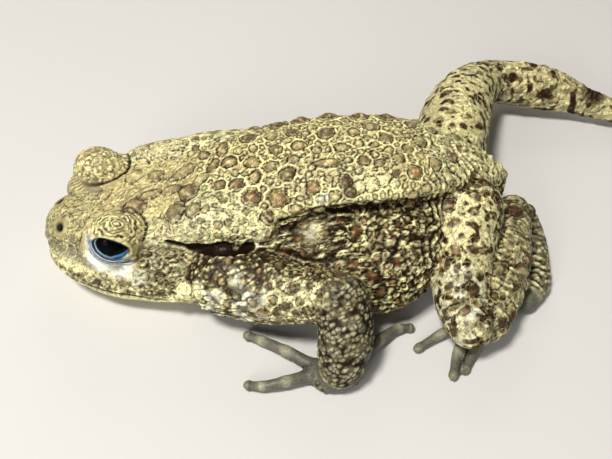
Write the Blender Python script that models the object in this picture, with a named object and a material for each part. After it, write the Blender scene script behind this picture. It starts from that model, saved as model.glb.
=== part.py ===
"""A common toad at life size, as a still museum model: head and trunk, parotoid glands, eyes and limbs.

The toad looks along -X, its left side is -Y and +Z is up. It is laid out in millimetres in its own
frame, with the snout tip at x = -55 and the floor at z = 0, and moved at the end so that the origin
is the centre of its bounding box on the floor. Where two nodes touch, the one that is wrapped by
the other is kept whole, and its neighbour is cut back from it by the air gap.
"""

import functools
import math
import random

import bmesh
import bpy
from mathutils import Quaternion, Vector
from mathutils.bvhtree import BVHTree

MM = 0.001
GAP = 0.3
SEED = 7

# Colour and roughness of the skin, the glands, the hands and feet, and the eyes.
SKIN_LOOK = ((0.42, 0.35, 0.17), 0.55)
GLAND_LOOK = ((0.50, 0.43, 0.24), 0.5)
SOLE_LOOK = ((0.40, 0.38, 0.26), 0.55)
EYE_LOOK = ((0.02, 0.02, 0.03), 0.08)

# Trunk and head, from the snout to the vent. Each row is one cross-section: place along the body,
# half width, underside, back, height share of the widest point, half width share of the back's edge,
# height share of that edge, how far the flank sinks under the edge, as a share of the half width, and
# how far the section sits to the right of the middle line.
BODY_SECTIONS = (
    (-55.0, 1.2, 9.6, 12.6, 0.45, 0.60, 0.88, 0.00, 0.0),
    (-54.6, 4.8, 7.2, 15.4, 0.42, 0.58, 0.88, 0.00, 0.0),
    (-53.0, 8.2, 5.2, 17.8, 0.38, 0.56, 0.88, 0.00, 0.0),
    (-50.0, 11.2, 3.8, 19.4, 0.34, 0.54, 0.89, 0.01, 0.0),
    (-45.5, 14.2, 2.8, 20.8, 0.30, 0.54, 0.90, 0.03, 0.0),
    (-40.0, 16.8, 2.2, 22.2, 0.28, 0.53, 0.90, 0.05, 0.0),
    (-34.0, 18.8, 1.8, 23.6, 0.28, 0.58, 0.90, 0.04, 0.0),
    (-28.0, 20.2, 1.4, 25.2, 0.28, 0.64, 0.88, 0.03, 0.0),
    (-22.0, 20.6, 1.0, 27.0, 0.30, 0.70, 0.85, 0.03, 0.0),
    (-16.0, 20.4, 0.6, 28.8, 0.34, 0.72, 0.84, 0.03, 0.0),
    (-8.0, 21.0, 0.2, 30.8, 0.36, 0.70, 0.84, 0.04, 0.0),
    (0.0, 22.4, -0.4, 32.4, 0.36, 0.62, 0.86, 0.06, -0.2),
    (9.0, 26.8, -0.5, 33.6, 0.36, 0.54, 0.88, 0.09, -0.6),
    (18.0, 29.2, -0.5, 34.2, 0.36, 0.49, 0.89, 0.10, -1.4),
    (27.0, 27.4, -0.5, 34.4, 0.38, 0.50, 0.89, 0.09, -2.0),
    (35.0, 21.4, 0.2, 33.0, 0.42, 0.52, 0.89, 0.05, -1.6),
    (42.0, 15.6, 2.4, 29.8, 0.46, 0.56, 0.88, 0.03, -0.6),
    (48.5, 10.6, 5.8, 26.2, 0.48, 0.60, 0.86, 0.00, 0.0),
    (53.5, 6.8, 9.4, 23.0, 0.50, 0.62, 0.84, 0.00, 0.0),
    (56.6, 3.6, 12.8, 20.4, 0.50, 0.62, 0.84, 0.00, 0.0),
    (57.6, 0.8, 15.4, 17.8, 0.50, 0.62, 0.84, 0.00, 0.0),
)
BODY_RINGS_PER_ROW = 2
BODY_RING_POINTS = 30

# Eyes and lids, on the left side. The right side is the same, turned over and set a little forward,
# because the head is slightly turned. EYE_AXIS is the way out of the eye opening, and the opening's
# edge lies so many degrees from it at the sides, above and below. OPENING_TURN tips the opening down
# to the rear, and OPENING_INSET is how far inside that edge the skin is cut away.
EYE_CENTRE = (-39.0, -10.6, 20.5)
EYE_RADIUS = 5.0
EYE_AXIS = (0.0, -0.95, 0.31)
RIGHT_FORWARD = 3.2
OPENING_SIDES = 55.0
OPENING_ABOVE = 33.0
OPENING_BELOW = 33.0
OPENING_TURN = -18.0
OPENING_INSET = 4.0
OPENING_REACH = 11.0
LID_OFFSET = (0.8, 0.2, 0.8)
LID_RADII = (6.7, 5.4, 4.8)
CHEEK_OFFSET = (0.6, 0.9, -4.6)
CHEEK_RADII = (8.6, 5.7, 6.4)
LID_EDGE_RADIUS = 0.75
LID_EDGE_REACH = 0.35
NOSTRIL = (-51.0, -4.0, 18.3)
NOSTRIL_RADIUS = 0.9
NOSTRIL_RIM = 1.7
EARDRUM = (-29.2, -19.0, 13.4)
EARDRUM_RADIUS = 2.0

# The cuts that part the head, the lower jaw and the torso.
NECK_X = -20.5
MOUTH_Z_FRONT = 8.6
MOUTH_Z_BACK = 7.0

# Swollen gland behind each eye: centre line and half thickness. The right one reaches further forward,
# because the right eye does.
PAROTOID = (
    ((-30.6, -11.8, 20.6), 2.3),
    ((-26.0, -11.6, 22.0), 3.8),
    ((-19.6, -11.2, 23.4), 5.0),
    ((-12.8, -11.6, 24.0), 5.4),
    ((-6.4, -13.6, 23.4), 3.6),
)
RIGHT_PAROTOID = (
    ((-33.0, 12.4, 21.4), 3.0),
    ((-27.0, 11.8, 22.4), 4.1),
    ((-19.6, 10.8, 23.2), 4.8),
    ((-12.8, 11.2, 23.8), 5.0),
    ((-6.4, 13.2, 23.4), 3.6),
)

# Limb segments as centre lines with radii. The left limbs follow the folded pose, the right hind
# limb is stretched out behind.
UPPER_ARM = (
    ((-14.0, -18.8, 12.6), 8.9),
    ((-5.0, -24.4, 13.6), 7.6),
    ((3.0, -28.8, 16.2), 6.1),
    ((9.6, -31.6, 18.0), 5.6),
)
FOREARM = (
    ((9.8, -32.4, 17.4), 5.4),
    ((9.8, -36.6, 12.6), 6.1),
    ((8.9, -40.2, 7.8), 5.6),
    ((8.0, -41.8, 5.2), 4.6),
)
LEFT_THIGH = (
    ((44.6, -10.2, 17.4), 9.2),
    ((42.0, -16.0, 16.2), 8.4),
    ((39.6, -23.6, 14.0), 7.2),
    ((38.2, -31.0, 11.8), 6.3),
    ((39.2, -37.0, 9.6), 5.6),
)
LEFT_SHANK = (
    ((43.4, -35.6, 9.0), 5.4),
    ((48.4, -28.4, 9.8), 6.2),
    ((52.8, -20.0, 10.0), 6.4),
    ((57.2, -11.0, 9.8), 5.6),
    ((61.0, -4.6, 8.8), 4.5),
)
LEFT_TARSUS = (
    ((64.2, -4.6, 5.6), 4.0),
    ((64.2, -13.6, 4.4), 3.5),
    ((62.0, -23.0, 3.6), 3.3),
    ((57.2, -28.0, 3.0), 3.2),
)
RIGHT_THIGH = (
    ((46.4, 10.6, 17.6), 9.4),
    ((50.4, 20.0, 17.0), 9.4),
    ((56.0, 30.0, 15.4), 8.8),
    ((62.4, 38.4, 13.4), 7.4),
    ((69.0, 44.4, 11.4), 6.0),
)
RIGHT_SHANK = (
    ((70.6, 44.4, 11.0), 5.8),
    ((80.0, 43.6, 9.6), 6.6),
    ((90.0, 41.0, 8.4), 6.0),
    ((98.0, 37.6, 6.8), 4.4),
    ((105.0, 34.4, 5.6), 3.6),
    ((111.0, 32.0, 5.0), 3.7),
)
RIGHT_TARSUS = (
    ((112.6, 32.4, 4.6), 3.6),
    ((117.0, 38.0, 4.2), 3.3),
    ((121.0, 43.4, 3.6), 3.1),
    ((124.0, 47.6, 3.0), 3.1),
)

# The right arm lies closer to the body than the left one, with its hand further forward.
RIGHT_UPPER_ARM = (
    ((-14.0, 15.5, 13.5), 6.6),
    ((-6.0, 19.0, 12.6), 5.6),
    ((2.0, 22.0, 12.0), 5.2),
    ((9.4, 24.4, 11.4), 5.0),
)
RIGHT_FOREARM = (
    ((9.0, 25.4, 10.8), 4.9),
    ((5.6, 28.0, 8.6), 5.4),
    ((1.4, 30.4, 6.0), 5.0),
    ((-1.2, 31.6, 4.8), 4.2),
)
RIGHT_HAND_SHIFT = (-9.2, -8.6)
RIGHT_HAND_TURN = 4.0

# Hands: palm, then each finger from its base to its tip, on the left side.
PALM_CENTRE = (7.4, -41.0, 2.6)
PALM_RADII = (6.4, 4.8, 3.0)
FINGERS = (
    ((12.6, -38.6, 2.2), (18.6, -34.6, 2.8), (24.0, -31.4, 2.0), (27.6, -31.0, 1.3)),
    ((9.0, -37.6, 2.2), (10.6, -32.4, 2.6), (11.6, -27.6, 2.0), (12.0, -24.6, 1.3)),
    ((3.0, -38.4, 2.2), (-2.2, -34.6, 2.9), (-7.2, -30.6, 2.1), (-10.8, -28.0, 1.3)),
    ((1.8, -40.8, 2.2), (-3.6, -41.8, 2.8), (-8.8, -41.9, 2.1), (-12.2, -40.8, 1.3)),
)
FINGER_RADII = (1.9, 1.65, 1.5, 1.35)

# Feet: each toe from the first to the fifth as its heading in degrees from +X, its length, and how
# many degrees it curls along that length.
LEFT_TOES = (
    (168.0, 14.0, 6.0),
    (180.0, 20.0, 6.0),
    (192.0, 30.5, 14.0),
    (196.0, 30.0, 62.0),
    (210.0, 25.5, 26.0),
)
RIGHT_TOES = (
    (-10.0, 14.0, 4.0),
    (6.0, 20.0, 4.0),
    (22.0, 27.5, 4.0),
    (41.0, 35.5, 0.0),
    (61.0, 28.0, -4.0),
)
TOE_RADII = (2.1, 1.7, 1.5, 1.3)
TOE_HEIGHTS = (2.4, 2.6, 2.0, 1.2)
TOE_SHARES = (0.10, 0.45, 0.75, 1.0)
TOE_STEPS = 12
WEB_SHARE = 0.52
WEB_HEIGHTS = (0.4, 1.8)
LIMB_SIDES = 11
LIMB_DOME = (70.0, 38.0)
DIGIT_DOME = (52.0,)

# Warts: how many on each node, with the range of their radii, and their height as a share of it.
WART_HEIGHT = 0.42
WART_SINK = 0.9
WART_SIDES = 6
WART_SPACING = 1.15
WART_TRIES = 40
# Where warts grow: along the back and how far out on it, in front of the hips and over them, and along
# the flank and how high on it. A limb has them along this share of its length.
BACK_REACH = (-16.0, 50.0)
BACK_HALF_WIDTH = 17.0
HIPS_X = 34.0
HIPS_HALF_WIDTH = 9.0
FLANK_REACH = (0.0, 32.0)
FLANK_HEIGHTS = (9.0, 24.0)
FLANK_SLANT = 0.15
LIMB_REACH = (0.15, 0.85)
LIMB_LEAN = 0.9
# Rays that look for the skin start well outside the toad.
FAR = 60.0
# The row of large warts on each side: place along the body, distance from the middle, and radius.
RIDGE_ROW = (
    (-30.5, 5.4, 1.9),
    (-24.0, 5.6, 1.8),
    (-17.0, 4.6, 1.6),
    (-8.0, 6.0, 1.6),
    (1.0, 12.4, 2.2),
    (8.0, 13.0, 2.3),
    (17.0, 11.6, 2.3),
    (26.0, 9.6, 2.0),
    (36.0, 8.0, 1.7),
)
RIDGE_WARTS = 12
BACK_WARTS = 40
FLANK_WARTS = 16
LIMB_WARTS = 5
BACK_WART_RADII = (1.1, 2.3)
FLANK_WART_RADII = (0.9, 1.6)
LIMB_WART_RADII = (0.9, 1.5)


def finish_node(obj, look):
    """Gives a node smooth shading and a Principled material of its own."""
    colour, roughness = look
    made = bpy.data.materials.new(obj.name)
    made.use_nodes = True
    shader = made.node_tree.nodes["Principled BSDF"]
    shader.inputs["Base Color"].default_value = (*colour, 1.0)
    shader.inputs["Roughness"].default_value = roughness
    shader.inputs["Metallic"].default_value = 0.0
    obj.data.materials.append(made)
    obj.data.shade_smooth()
    obj.data.set_sharp_from_angle(angle=math.radians(60.0))


def spline(rows, t):
    """The rows blended at t, counted in rows, by a Catmull-Rom curve through them."""
    last = len(rows) - 1
    i = min(int(t), last - 1)
    u = t - i
    a, b, c, d = (rows[min(max(i + k, 0), last)] for k in (-1, 0, 1, 2))
    return tuple(
        0.5 * (2 * q + (r - p) * u + (2 * p - 5 * q + 4 * r - s) * u**2 + (3 * q - p - 3 * r + s) * u**3)
        for p, q, r, s in zip(a, b, c, d)
    )


def add_object(name, bm):
    """A linked mesh object from bm, whose faces are turned outwards and whose millimetres become metres."""
    bmesh.ops.recalc_face_normals(bm, faces=bm.faces)
    bmesh.ops.scale(bm, vec=(MM, MM, MM), verts=bm.verts)
    mesh = bpy.data.meshes.new(name)
    bm.to_mesh(mesh)
    bm.free()
    obj = bpy.data.objects.new(name, mesh)
    bpy.context.scene.collection.objects.link(obj)
    return obj


def loft(name, rings):
    """One closed skin over rings of equal length, with a pole at each end."""
    bm = bmesh.new()
    loops = [[bm.verts.new(p) for p in ring] for ring in rings]
    count = len(loops[0])
    for first, second in zip(loops, loops[1:]):
        for i in range(count):
            j = (i + 1) % count
            bm.faces.new((first[i], first[j], second[j], second[i]))
    for ring, loop in ((rings[0], loops[0]), (rings[-1], loops[-1])):
        pole = bm.verts.new(sum((Vector(p) for p in ring), Vector()) / count)
        for i in range(count):
            bm.faces.new((loop[i], loop[(i + 1) % count], pole))
    return add_object(name, bm)


def body_ring(section):
    """One cross-section: flat belly, low bulging flank, sunken band under the back's edge, and back."""
    x, half, under, back, wide, edge, edge_height, sink, aside = section
    tall = back - under
    side = (
        (0.0, 0.0),
        (0.52, 0.0),
        (0.86, wide * 0.36),
        (1.0, wide),
        (0.5 * (1.0 + edge) + 0.06, 0.5 * (wide + edge_height) - 0.02),
        (edge + 0.04 - sink, edge_height - 0.13),
        (edge, edge_height),
        (edge * 0.52, 0.985),
        (0.0, 1.0),
    )
    outline = [(y * half, under + z * tall) for y, z in side]
    outline += [(-y, z) for y, z in reversed(outline[1:-1])]
    closed = outline[-1:] + outline + outline[:2]
    count = len(outline)
    ring = []
    for k in range(BODY_RING_POINTS):
        y, z = spline(closed, 1 + k * count / BODY_RING_POINTS)
        ring.append((x, y + aside, z))
    return ring


def make_body():
    steps = (len(BODY_SECTIONS) - 1) * BODY_RINGS_PER_ROW
    sections = [spline(BODY_SECTIONS, k / BODY_RINGS_PER_ROW) for k in range(steps + 1)]
    return loft("body", [body_ring(s) for s in sections])


def tube(name, rows, grow=0.0, sides=LIMB_SIDES, per_span=2, dome=LIMB_DOME):
    """A limb or digit: a skin of round sections along a smooth line, with domed ends."""
    flat_rows = [(*point, radius) for point, radius in rows]
    samples = [spline(flat_rows, k / per_span) for k in range((len(rows) - 1) * per_span + 1)]
    centres = [Vector(s[:3]) for s in samples]
    radii = [s[3] + grow for s in samples]
    headings = [
        (centres[min(k + 1, len(centres) - 1)] - centres[max(k - 1, 0)]).normalized()
        for k in range(len(centres))
    ]
    side = headings[0].cross(Vector((0.0, 0.0, 1.0))).normalized()
    rings = []

    def add_ring(centre, heading, radius):
        nonlocal side
        side = (side - heading * side.dot(heading)).normalized()
        up = side.cross(heading)
        if up.z < 0:
            up = -up
        rings.append(
            [
                centre
                + side * (radius * math.cos(a))
                + up * (radius * math.sin(a))
                for a in (2 * math.pi * k / sides for k in range(sides))
            ]
        )

    for angle in dome:
        out = radii[0] * math.sin(math.radians(angle))
        add_ring(centres[0] - headings[0] * out, headings[0], radii[0] * math.cos(math.radians(angle)))
    for centre, heading, radius in zip(centres, headings, radii):
        add_ring(centre, heading, radius)
    for angle in reversed(dome):
        out = radii[-1] * math.sin(math.radians(angle))
        add_ring(centres[-1] + headings[-1] * out, headings[-1], radii[-1] * math.cos(math.radians(angle)))
    return loft(name, rings)


def ellipsoid(name, centre, radii, grow=0.0, across=16, around=10):
    bm = bmesh.new()
    bmesh.ops.create_uvsphere(bm, u_segments=across, v_segments=around, radius=1.0)
    for vert in bm.verts:
        vert.co = Vector(c + v * (r + grow) for c, v, r in zip(centre, vert.co, radii))
    return add_object(name, bm)


def box(name, low, high, slope=0.0):
    """A box. slope lifts it per millimetre of x, for a cut that runs downhill."""
    bm = bmesh.new()
    bmesh.ops.create_cube(bm, size=1.0)
    for vert in bm.verts:
        vert.co = Vector(a + (v + 0.5) * (b - a) for v, a, b in zip(vert.co, low, high))
        vert.co.z += slope * (vert.co.x - low[0])
    return add_object(name, bm)


def combine(obj, others, operation):
    """Joins the others to obj, or cuts them from it, in one Boolean on a collection that is then emptied."""
    group = bpy.data.collections.new("operands")
    for other in others:
        group.objects.link(other)
    modifier = obj.modifiers.new("combine", "BOOLEAN")
    modifier.operation = operation
    modifier.operand_type = "COLLECTION"
    modifier.collection = group
    # Where dozens of warts and limbs overlap, the exact solver leaves open edges and this one doesn't.
    modifier.solver = "MANIFOLD"
    with bpy.context.temp_override(object=obj, active_object=obj, selected_objects=[obj]):
        bpy.ops.object.modifier_apply(modifier=modifier.name)
    for other in others:
        bpy.data.objects.remove(other)
    bpy.data.collections.remove(group)
    return obj


def islands(bm):
    """The closed surfaces in bm, as lists of faces."""
    found, seen = [], set()
    for start in bm.faces:
        if start in seen:
            continue
        seen.add(start)
        reach, members = [start], []
        while reach:
            face = reach.pop()
            members.append(face)
            for edge in face.edges:
                for near in edge.link_faces:
                    if near not in seen:
                        seen.add(near)
                        reach.append(near)
        found.append(members)
    return found


def keep_largest(obj):
    """Drops every closed surface but the one with the most area, as scraps and sealed hollows."""
    bm = bmesh.new()
    bm.from_mesh(obj.data)
    pieces = sorted(islands(bm), key=lambda faces: sum(f.calc_area() for f in faces))
    for scrap in pieces[:-1]:
        bmesh.ops.delete(bm, geom=scrap, context="FACES")
    bm.to_mesh(obj.data)
    bm.free()
    return obj


def take_piece(obj, name, belongs):
    """A new object from the largest closed surface of obj whose middle passes the test."""
    bm = bmesh.new()
    bm.from_mesh(obj.data)
    wanted = []
    for faces in islands(bm):
        middle = sum((f.calc_center_median() * f.calc_area() for f in faces), Vector())
        area = sum(f.calc_area() for f in faces)
        if belongs(middle / area / MM):
            wanted.append((area, faces))
    kept = set(max(wanted, key=lambda pair: pair[0])[1])
    bmesh.ops.delete(bm, geom=[f for f in bm.faces if f not in kept], context="FACES")
    bmesh.ops.scale(bm, vec=(1 / MM, 1 / MM, 1 / MM), verts=bm.verts)
    return add_object(name, bm)


def surface_of(obj):
    return BVHTree.FromObject(obj, bpy.context.evaluated_depsgraph_get())


def wart(name, foot, normal, radius):
    """A low dome on the skin, with its base sunk in."""
    side = normal.orthogonal().normalized()
    other = normal.cross(side)

    def ring(height, width):
        return [
            foot + normal * height + (side * math.cos(a) + other * math.sin(a)) * width
            for a in (2 * math.pi * k / WART_SIDES for k in range(WART_SIDES))
        ]

    top = radius * WART_HEIGHT
    return loft(name, [ring(-WART_SINK, radius * 0.8), ring(0.0, radius), ring(top * 0.75, radius * 0.62)])


def clear_of(surfaces, foot, radius):
    """Whether a wart with this foot keeps off these surfaces and lies outside them."""
    for surface in surfaces:
        near, normal, _, distance = surface.find_nearest(foot * MM)
        if distance / MM < 1.25 * radius + GAP or (foot * MM - near).dot(normal) < 0:
            return False
    return True


def grow_warts(obj, count, radii, rays, draw, others=(), placed=()):
    """Warts where the rays meet the skin, kept apart by more than their radii, and off the others."""
    surface = surface_of(obj)
    placed, made = list(placed), []
    for _ in range(count * WART_TRIES):
        if len(made) == count:
            break
        start, heading = rays(draw)
        hit, normal, _, _ = surface.ray_cast(Vector(start) * MM, Vector(heading).normalized())
        if hit is None:
            continue
        foot = hit / MM
        radius = radii[0] + (radii[1] - radii[0]) * draw.random() ** 1.6
        if any((foot - other).length < WART_SPACING * (radius + wide) for other, wide in placed):
            continue
        if not clear_of(others, foot, radius):
            continue
        placed.append((foot, radius))
        made.append(wart("wart", foot, normal, radius))
    return made


def ridge_warts(obj):
    """The row of large warts behind each lid and on along the ridge, and where they stand."""
    surface = surface_of(obj)
    placed, made = [], []
    for side in (-1.0, 1.0):
        for k in range(RIDGE_WARTS):
            x, y, radius = spline(RIDGE_ROW, k * (len(RIDGE_ROW) - 1) / (RIDGE_WARTS - 1))
            ray = Vector((x, side * y, FAR)) * MM
            hit, normal, _, _ = surface.ray_cast(ray, Vector((0.0, 0.0, -1.0)))
            placed.append((hit / MM, radius))
            made.append(wart("wart", hit / MM, normal, radius))
    return placed, made


def back_rays(draw):
    x = draw.uniform(*BACK_REACH)
    y = draw.uniform(-1.0, 1.0) * (BACK_HALF_WIDTH if x < HIPS_X else HIPS_HALF_WIDTH)
    return (x, y, FAR), (0.0, 0.0, -1.0)


def flank_rays(draw):
    side = draw.choice((-1.0, 1.0))
    start = (draw.uniform(*FLANK_REACH), side * FAR, draw.uniform(*FLANK_HEIGHTS))
    return start, (0.0, -side, -FLANK_SLANT)


def limb_rays(rows, draw):
    """Rays that fall on a limb from above and from either side."""
    (x, y, z), _ = rows[0]
    (p, q, r), _ = rows[-1]
    share = draw.uniform(*LIMB_REACH)
    aim = Vector((x + (p - x) * share, y + (q - y) * share, z + (r - z) * share))
    sway = (draw.uniform(-LIMB_LEAN, LIMB_LEAN), draw.uniform(-LIMB_LEAN, LIMB_LEAN))
    lean = Vector((*sway, 1.0)).normalized()
    return aim + lean * FAR, -lean


def eye_place(side, offset=(0.0, 0.0, 0.0)):
    """A point near the eye on the given side, at an offset from its centre as seen on the left side."""
    x, y, z = (c + o for c, o in zip(EYE_CENTRE, offset))
    return (x, y, z) if side < 0 else (x - RIGHT_FORWARD, -y, z)


def eye_pair(grow=0.0):
    return [
        ellipsoid(name, eye_place(side), (EYE_RADIUS,) * 3, grow, across=14, around=10)
        for name, side in (("eye_left", -1.0), ("eye_right", 1.0))
    ]


def opening_way(angle, inset=0.0):
    """The direction from the eye's centre to the edge of the opening, at this angle round its axis."""
    out = Vector(EYE_AXIS).normalized()
    along = (Vector((1.0, 0.0, 0.0)) - out * out.x).normalized()
    turn = Quaternion(out, math.radians(OPENING_TURN))
    along, up = turn @ along, turn @ out.cross(along)
    tall = OPENING_ABOVE if math.sin(angle) > 0 else OPENING_BELOW
    wide = math.hypot(math.cos(angle) / OPENING_SIDES, math.sin(angle) / tall)
    spread = math.radians(1.0 / wide - inset)
    return out * math.cos(spread) + (along * math.cos(angle) + up * math.sin(angle)) * math.sin(spread)


def lid_edges(side):
    """The rolled edges of the upper and the lower lid."""
    made = []
    for first in (0.0, 180.0):
        rows = []
        for k in range(8):
            way = opening_way(math.radians(first + 180.0 * k / 7))
            rows.append((eye_place(side, way * (EYE_RADIUS + LID_EDGE_REACH)), LID_EDGE_RADIUS))
        made.append(tube("lid_edge", rows, sides=7, per_span=1, dome=DIGIT_DOME))
    return made


def eye_window(side):
    """What is cut away in front of the eye: a cone from the eye's centre through the opening."""
    rings = []
    for reach in (0.3, 0.6, 1.0):
        ways = [opening_way(2 * math.pi * k / 16, OPENING_INSET) for k in range(16)]
        rings.append([eye_place(side, way * (reach * OPENING_REACH)) for way in ways])
    return loft("eye_window", rings)


def head_features():
    """Cheeks, lids, nostril rims and eardrums, to be joined to the head."""
    made = []
    for side in (-1.0, 1.0):
        made.append(ellipsoid("cheek", eye_place(side, CHEEK_OFFSET), CHEEK_RADII, across=14, around=10))
        made.append(ellipsoid("lid", eye_place(side, LID_OFFSET), LID_RADII, across=14, around=12))
        made += lid_edges(side)
        x, y, z = NOSTRIL
        rim = (x + 0.6, side * (abs(y) - 0.4), z - 0.9)
        made.append(ellipsoid("rim", rim, (NOSTRIL_RIM,) * 3, across=8, around=6))
        x, y, z = EARDRUM
        radii = (EARDRUM_RADIUS, 1.0, EARDRUM_RADIUS)
        made.append(ellipsoid("eardrum", (x, side * abs(y), z), radii, across=10, around=6))
    return made


def nostril(side):
    x, y, z = NOSTRIL
    return ellipsoid("nostril", (x, side * abs(y), z), (NOSTRIL_RADIUS,) * 3, across=8, around=6)


def hand_place(point, side):
    """A point of the left hand's plan, or the same point of the right hand."""
    if side < 0:
        return point
    turn = math.radians(RIGHT_HAND_TURN)
    x, y, z = point
    dx, dy = x - PALM_CENTRE[0], -(y - PALM_CENTRE[1])
    return (
        PALM_CENTRE[0] + RIGHT_HAND_SHIFT[0] + dx * math.cos(turn) - dy * math.sin(turn),
        -PALM_CENTRE[1] + RIGHT_HAND_SHIFT[1] + dx * math.sin(turn) + dy * math.cos(turn),
        z,
    )


def digit(name, line, radii, grow):
    return tube(name, tuple(zip(line, radii)), grow, sides=7, per_span=1, dome=DIGIT_DOME)


def hand(name, side, grow=0.0):
    """A palm and four spread fingers, flat side down."""
    palm = ellipsoid(name, hand_place(PALM_CENTRE, side), PALM_RADII, grow, across=14, around=8)
    wrist = (PALM_CENTRE[0], PALM_CENTRE[1] + 0.6, PALM_CENTRE[2])
    fingers = []
    for k, joints in enumerate(FINGERS):
        line = [hand_place(p, side) for p in (wrist, *joints)]
        fingers.append(digit(f"finger_{k}", line, (2.2, *FINGER_RADII), grow))
    return combine(palm, fingers, "UNION")


def toe_point(base, toe, share):
    """Where the toe has come to after this share of its length, as x and y."""
    heading, length, curl = toe
    place = Vector((base[0], base[1]))
    for k in range(TOE_STEPS):
        way = math.radians(heading + curl * (share * (k + 0.5) / TOE_STEPS) ** 2)
        place += Vector((math.cos(way), math.sin(way))) * (length * share / TOE_STEPS)
    return place


def web(name, base, tips, grow):
    """A thin skin between the toes, with its free edge drawn in between each two."""
    edge = [tips[0]]
    for first, second in zip(tips, tips[1:]):
        middle = (first + second) / 2
        edge += [middle + (base - middle) * 0.25, second]
    bm = bmesh.new()
    fans = []
    for height in (WEB_HEIGHTS[0] - grow, WEB_HEIGHTS[1] + grow):
        hub = bm.verts.new((*base, height))
        rim = [bm.verts.new((*p, height)) for p in edge]
        for first, second in zip(rim, rim[1:]):
            bm.faces.new((hub, first, second))
        fans.append([hub, *rim])
    for k in range(len(fans[0])):
        j = (k + 1) % len(fans[0])
        bm.faces.new((fans[0][k], fans[1][k], fans[1][j], fans[0][j]))
    return add_object(name, bm)


def foot(name, tarsus, toes, grow=0.0):
    """Heel, sole and five toes, the fourth the longest, with webs between them."""
    heel = tube(name, tarsus, grow)
    base = tarsus[-1][0]
    pieces = []
    for k, toe in enumerate(toes):
        line = [base]
        for share, height in zip(TOE_SHARES, TOE_HEIGHTS):
            x, y = toe_point(base, toe, share)
            line.append((x, y, height))
        pieces.append(digit(f"toe_{k}", line, (2.6, *TOE_RADII), grow))
    tips = [toe_point(base, toe, WEB_SHARE) for toe in toes]
    pieces.append(web("web", Vector(base[:2]), tips, grow))
    return combine(heel, pieces, "UNION")


def floor_cutter():
    return box("floor", (-120.0, -120.0, -20.0), (220.0, 160.0, 0.0))


def plain_nodes():
    """Each limb, gland, hand and foot: how its plain shape is made, its look, and the nodes that it is
    cut back from."""
    return {
        "parotoid_gland_left": (lambda n, g: tube(n, PAROTOID, g), GLAND_LOOK, ()),
        "parotoid_gland_right": (lambda n, g: tube(n, RIGHT_PAROTOID, g), GLAND_LOOK, ()),
        "hand_left": (lambda n, g: hand(n, -1.0, g), SOLE_LOOK, ()),
        "hand_right": (lambda n, g: hand(n, 1.0, g), SOLE_LOOK, ()),
        "foot_left": (lambda n, g: foot(n, LEFT_TARSUS, LEFT_TOES, g), SOLE_LOOK, ()),
        "foot_right": (lambda n, g: foot(n, RIGHT_TARSUS, RIGHT_TOES, g), SOLE_LOOK, ()),
        "forearm_left": (lambda n, g: tube(n, FOREARM, g), SKIN_LOOK, ("hand_left",)),
        "forearm_right": (lambda n, g: tube(n, RIGHT_FOREARM, g), SKIN_LOOK, ("hand_right",)),
        "upper_arm_left": (
            lambda n, g: tube(n, UPPER_ARM, g),
            SKIN_LOOK,
            ("parotoid_gland_left", "forearm_left"),
        ),
        "upper_arm_right": (
            lambda n, g: tube(n, RIGHT_UPPER_ARM, g),
            SKIN_LOOK,
            ("parotoid_gland_right", "forearm_right"),
        ),
        "thigh_left": (lambda n, g: tube(n, LEFT_THIGH, g), SKIN_LOOK, ("foot_left",)),
        "shank_left": (lambda n, g: tube(n, LEFT_SHANK, g), SKIN_LOOK, ("thigh_left", "foot_left")),
        "thigh_right": (lambda n, g: tube(n, RIGHT_THIGH, g), SKIN_LOOK, ()),
        "shank_right": (lambda n, g: tube(n, RIGHT_SHANK, g), SKIN_LOOK, ("thigh_right", "foot_right")),
    }


WARTY = {
    "forearm_left": FOREARM,
    "forearm_right": RIGHT_FOREARM,
    "upper_arm_left": UPPER_ARM,
    "upper_arm_right": RIGHT_UPPER_ARM,
    "thigh_left": LEFT_THIGH,
    "shank_left": LEFT_SHANK,
    "thigh_right": RIGHT_THIGH,
    "shank_right": RIGHT_SHANK,
}


def surface_and_drop(obj):
    surface = surface_of(obj)
    bpy.data.objects.remove(obj)
    return surface


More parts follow.
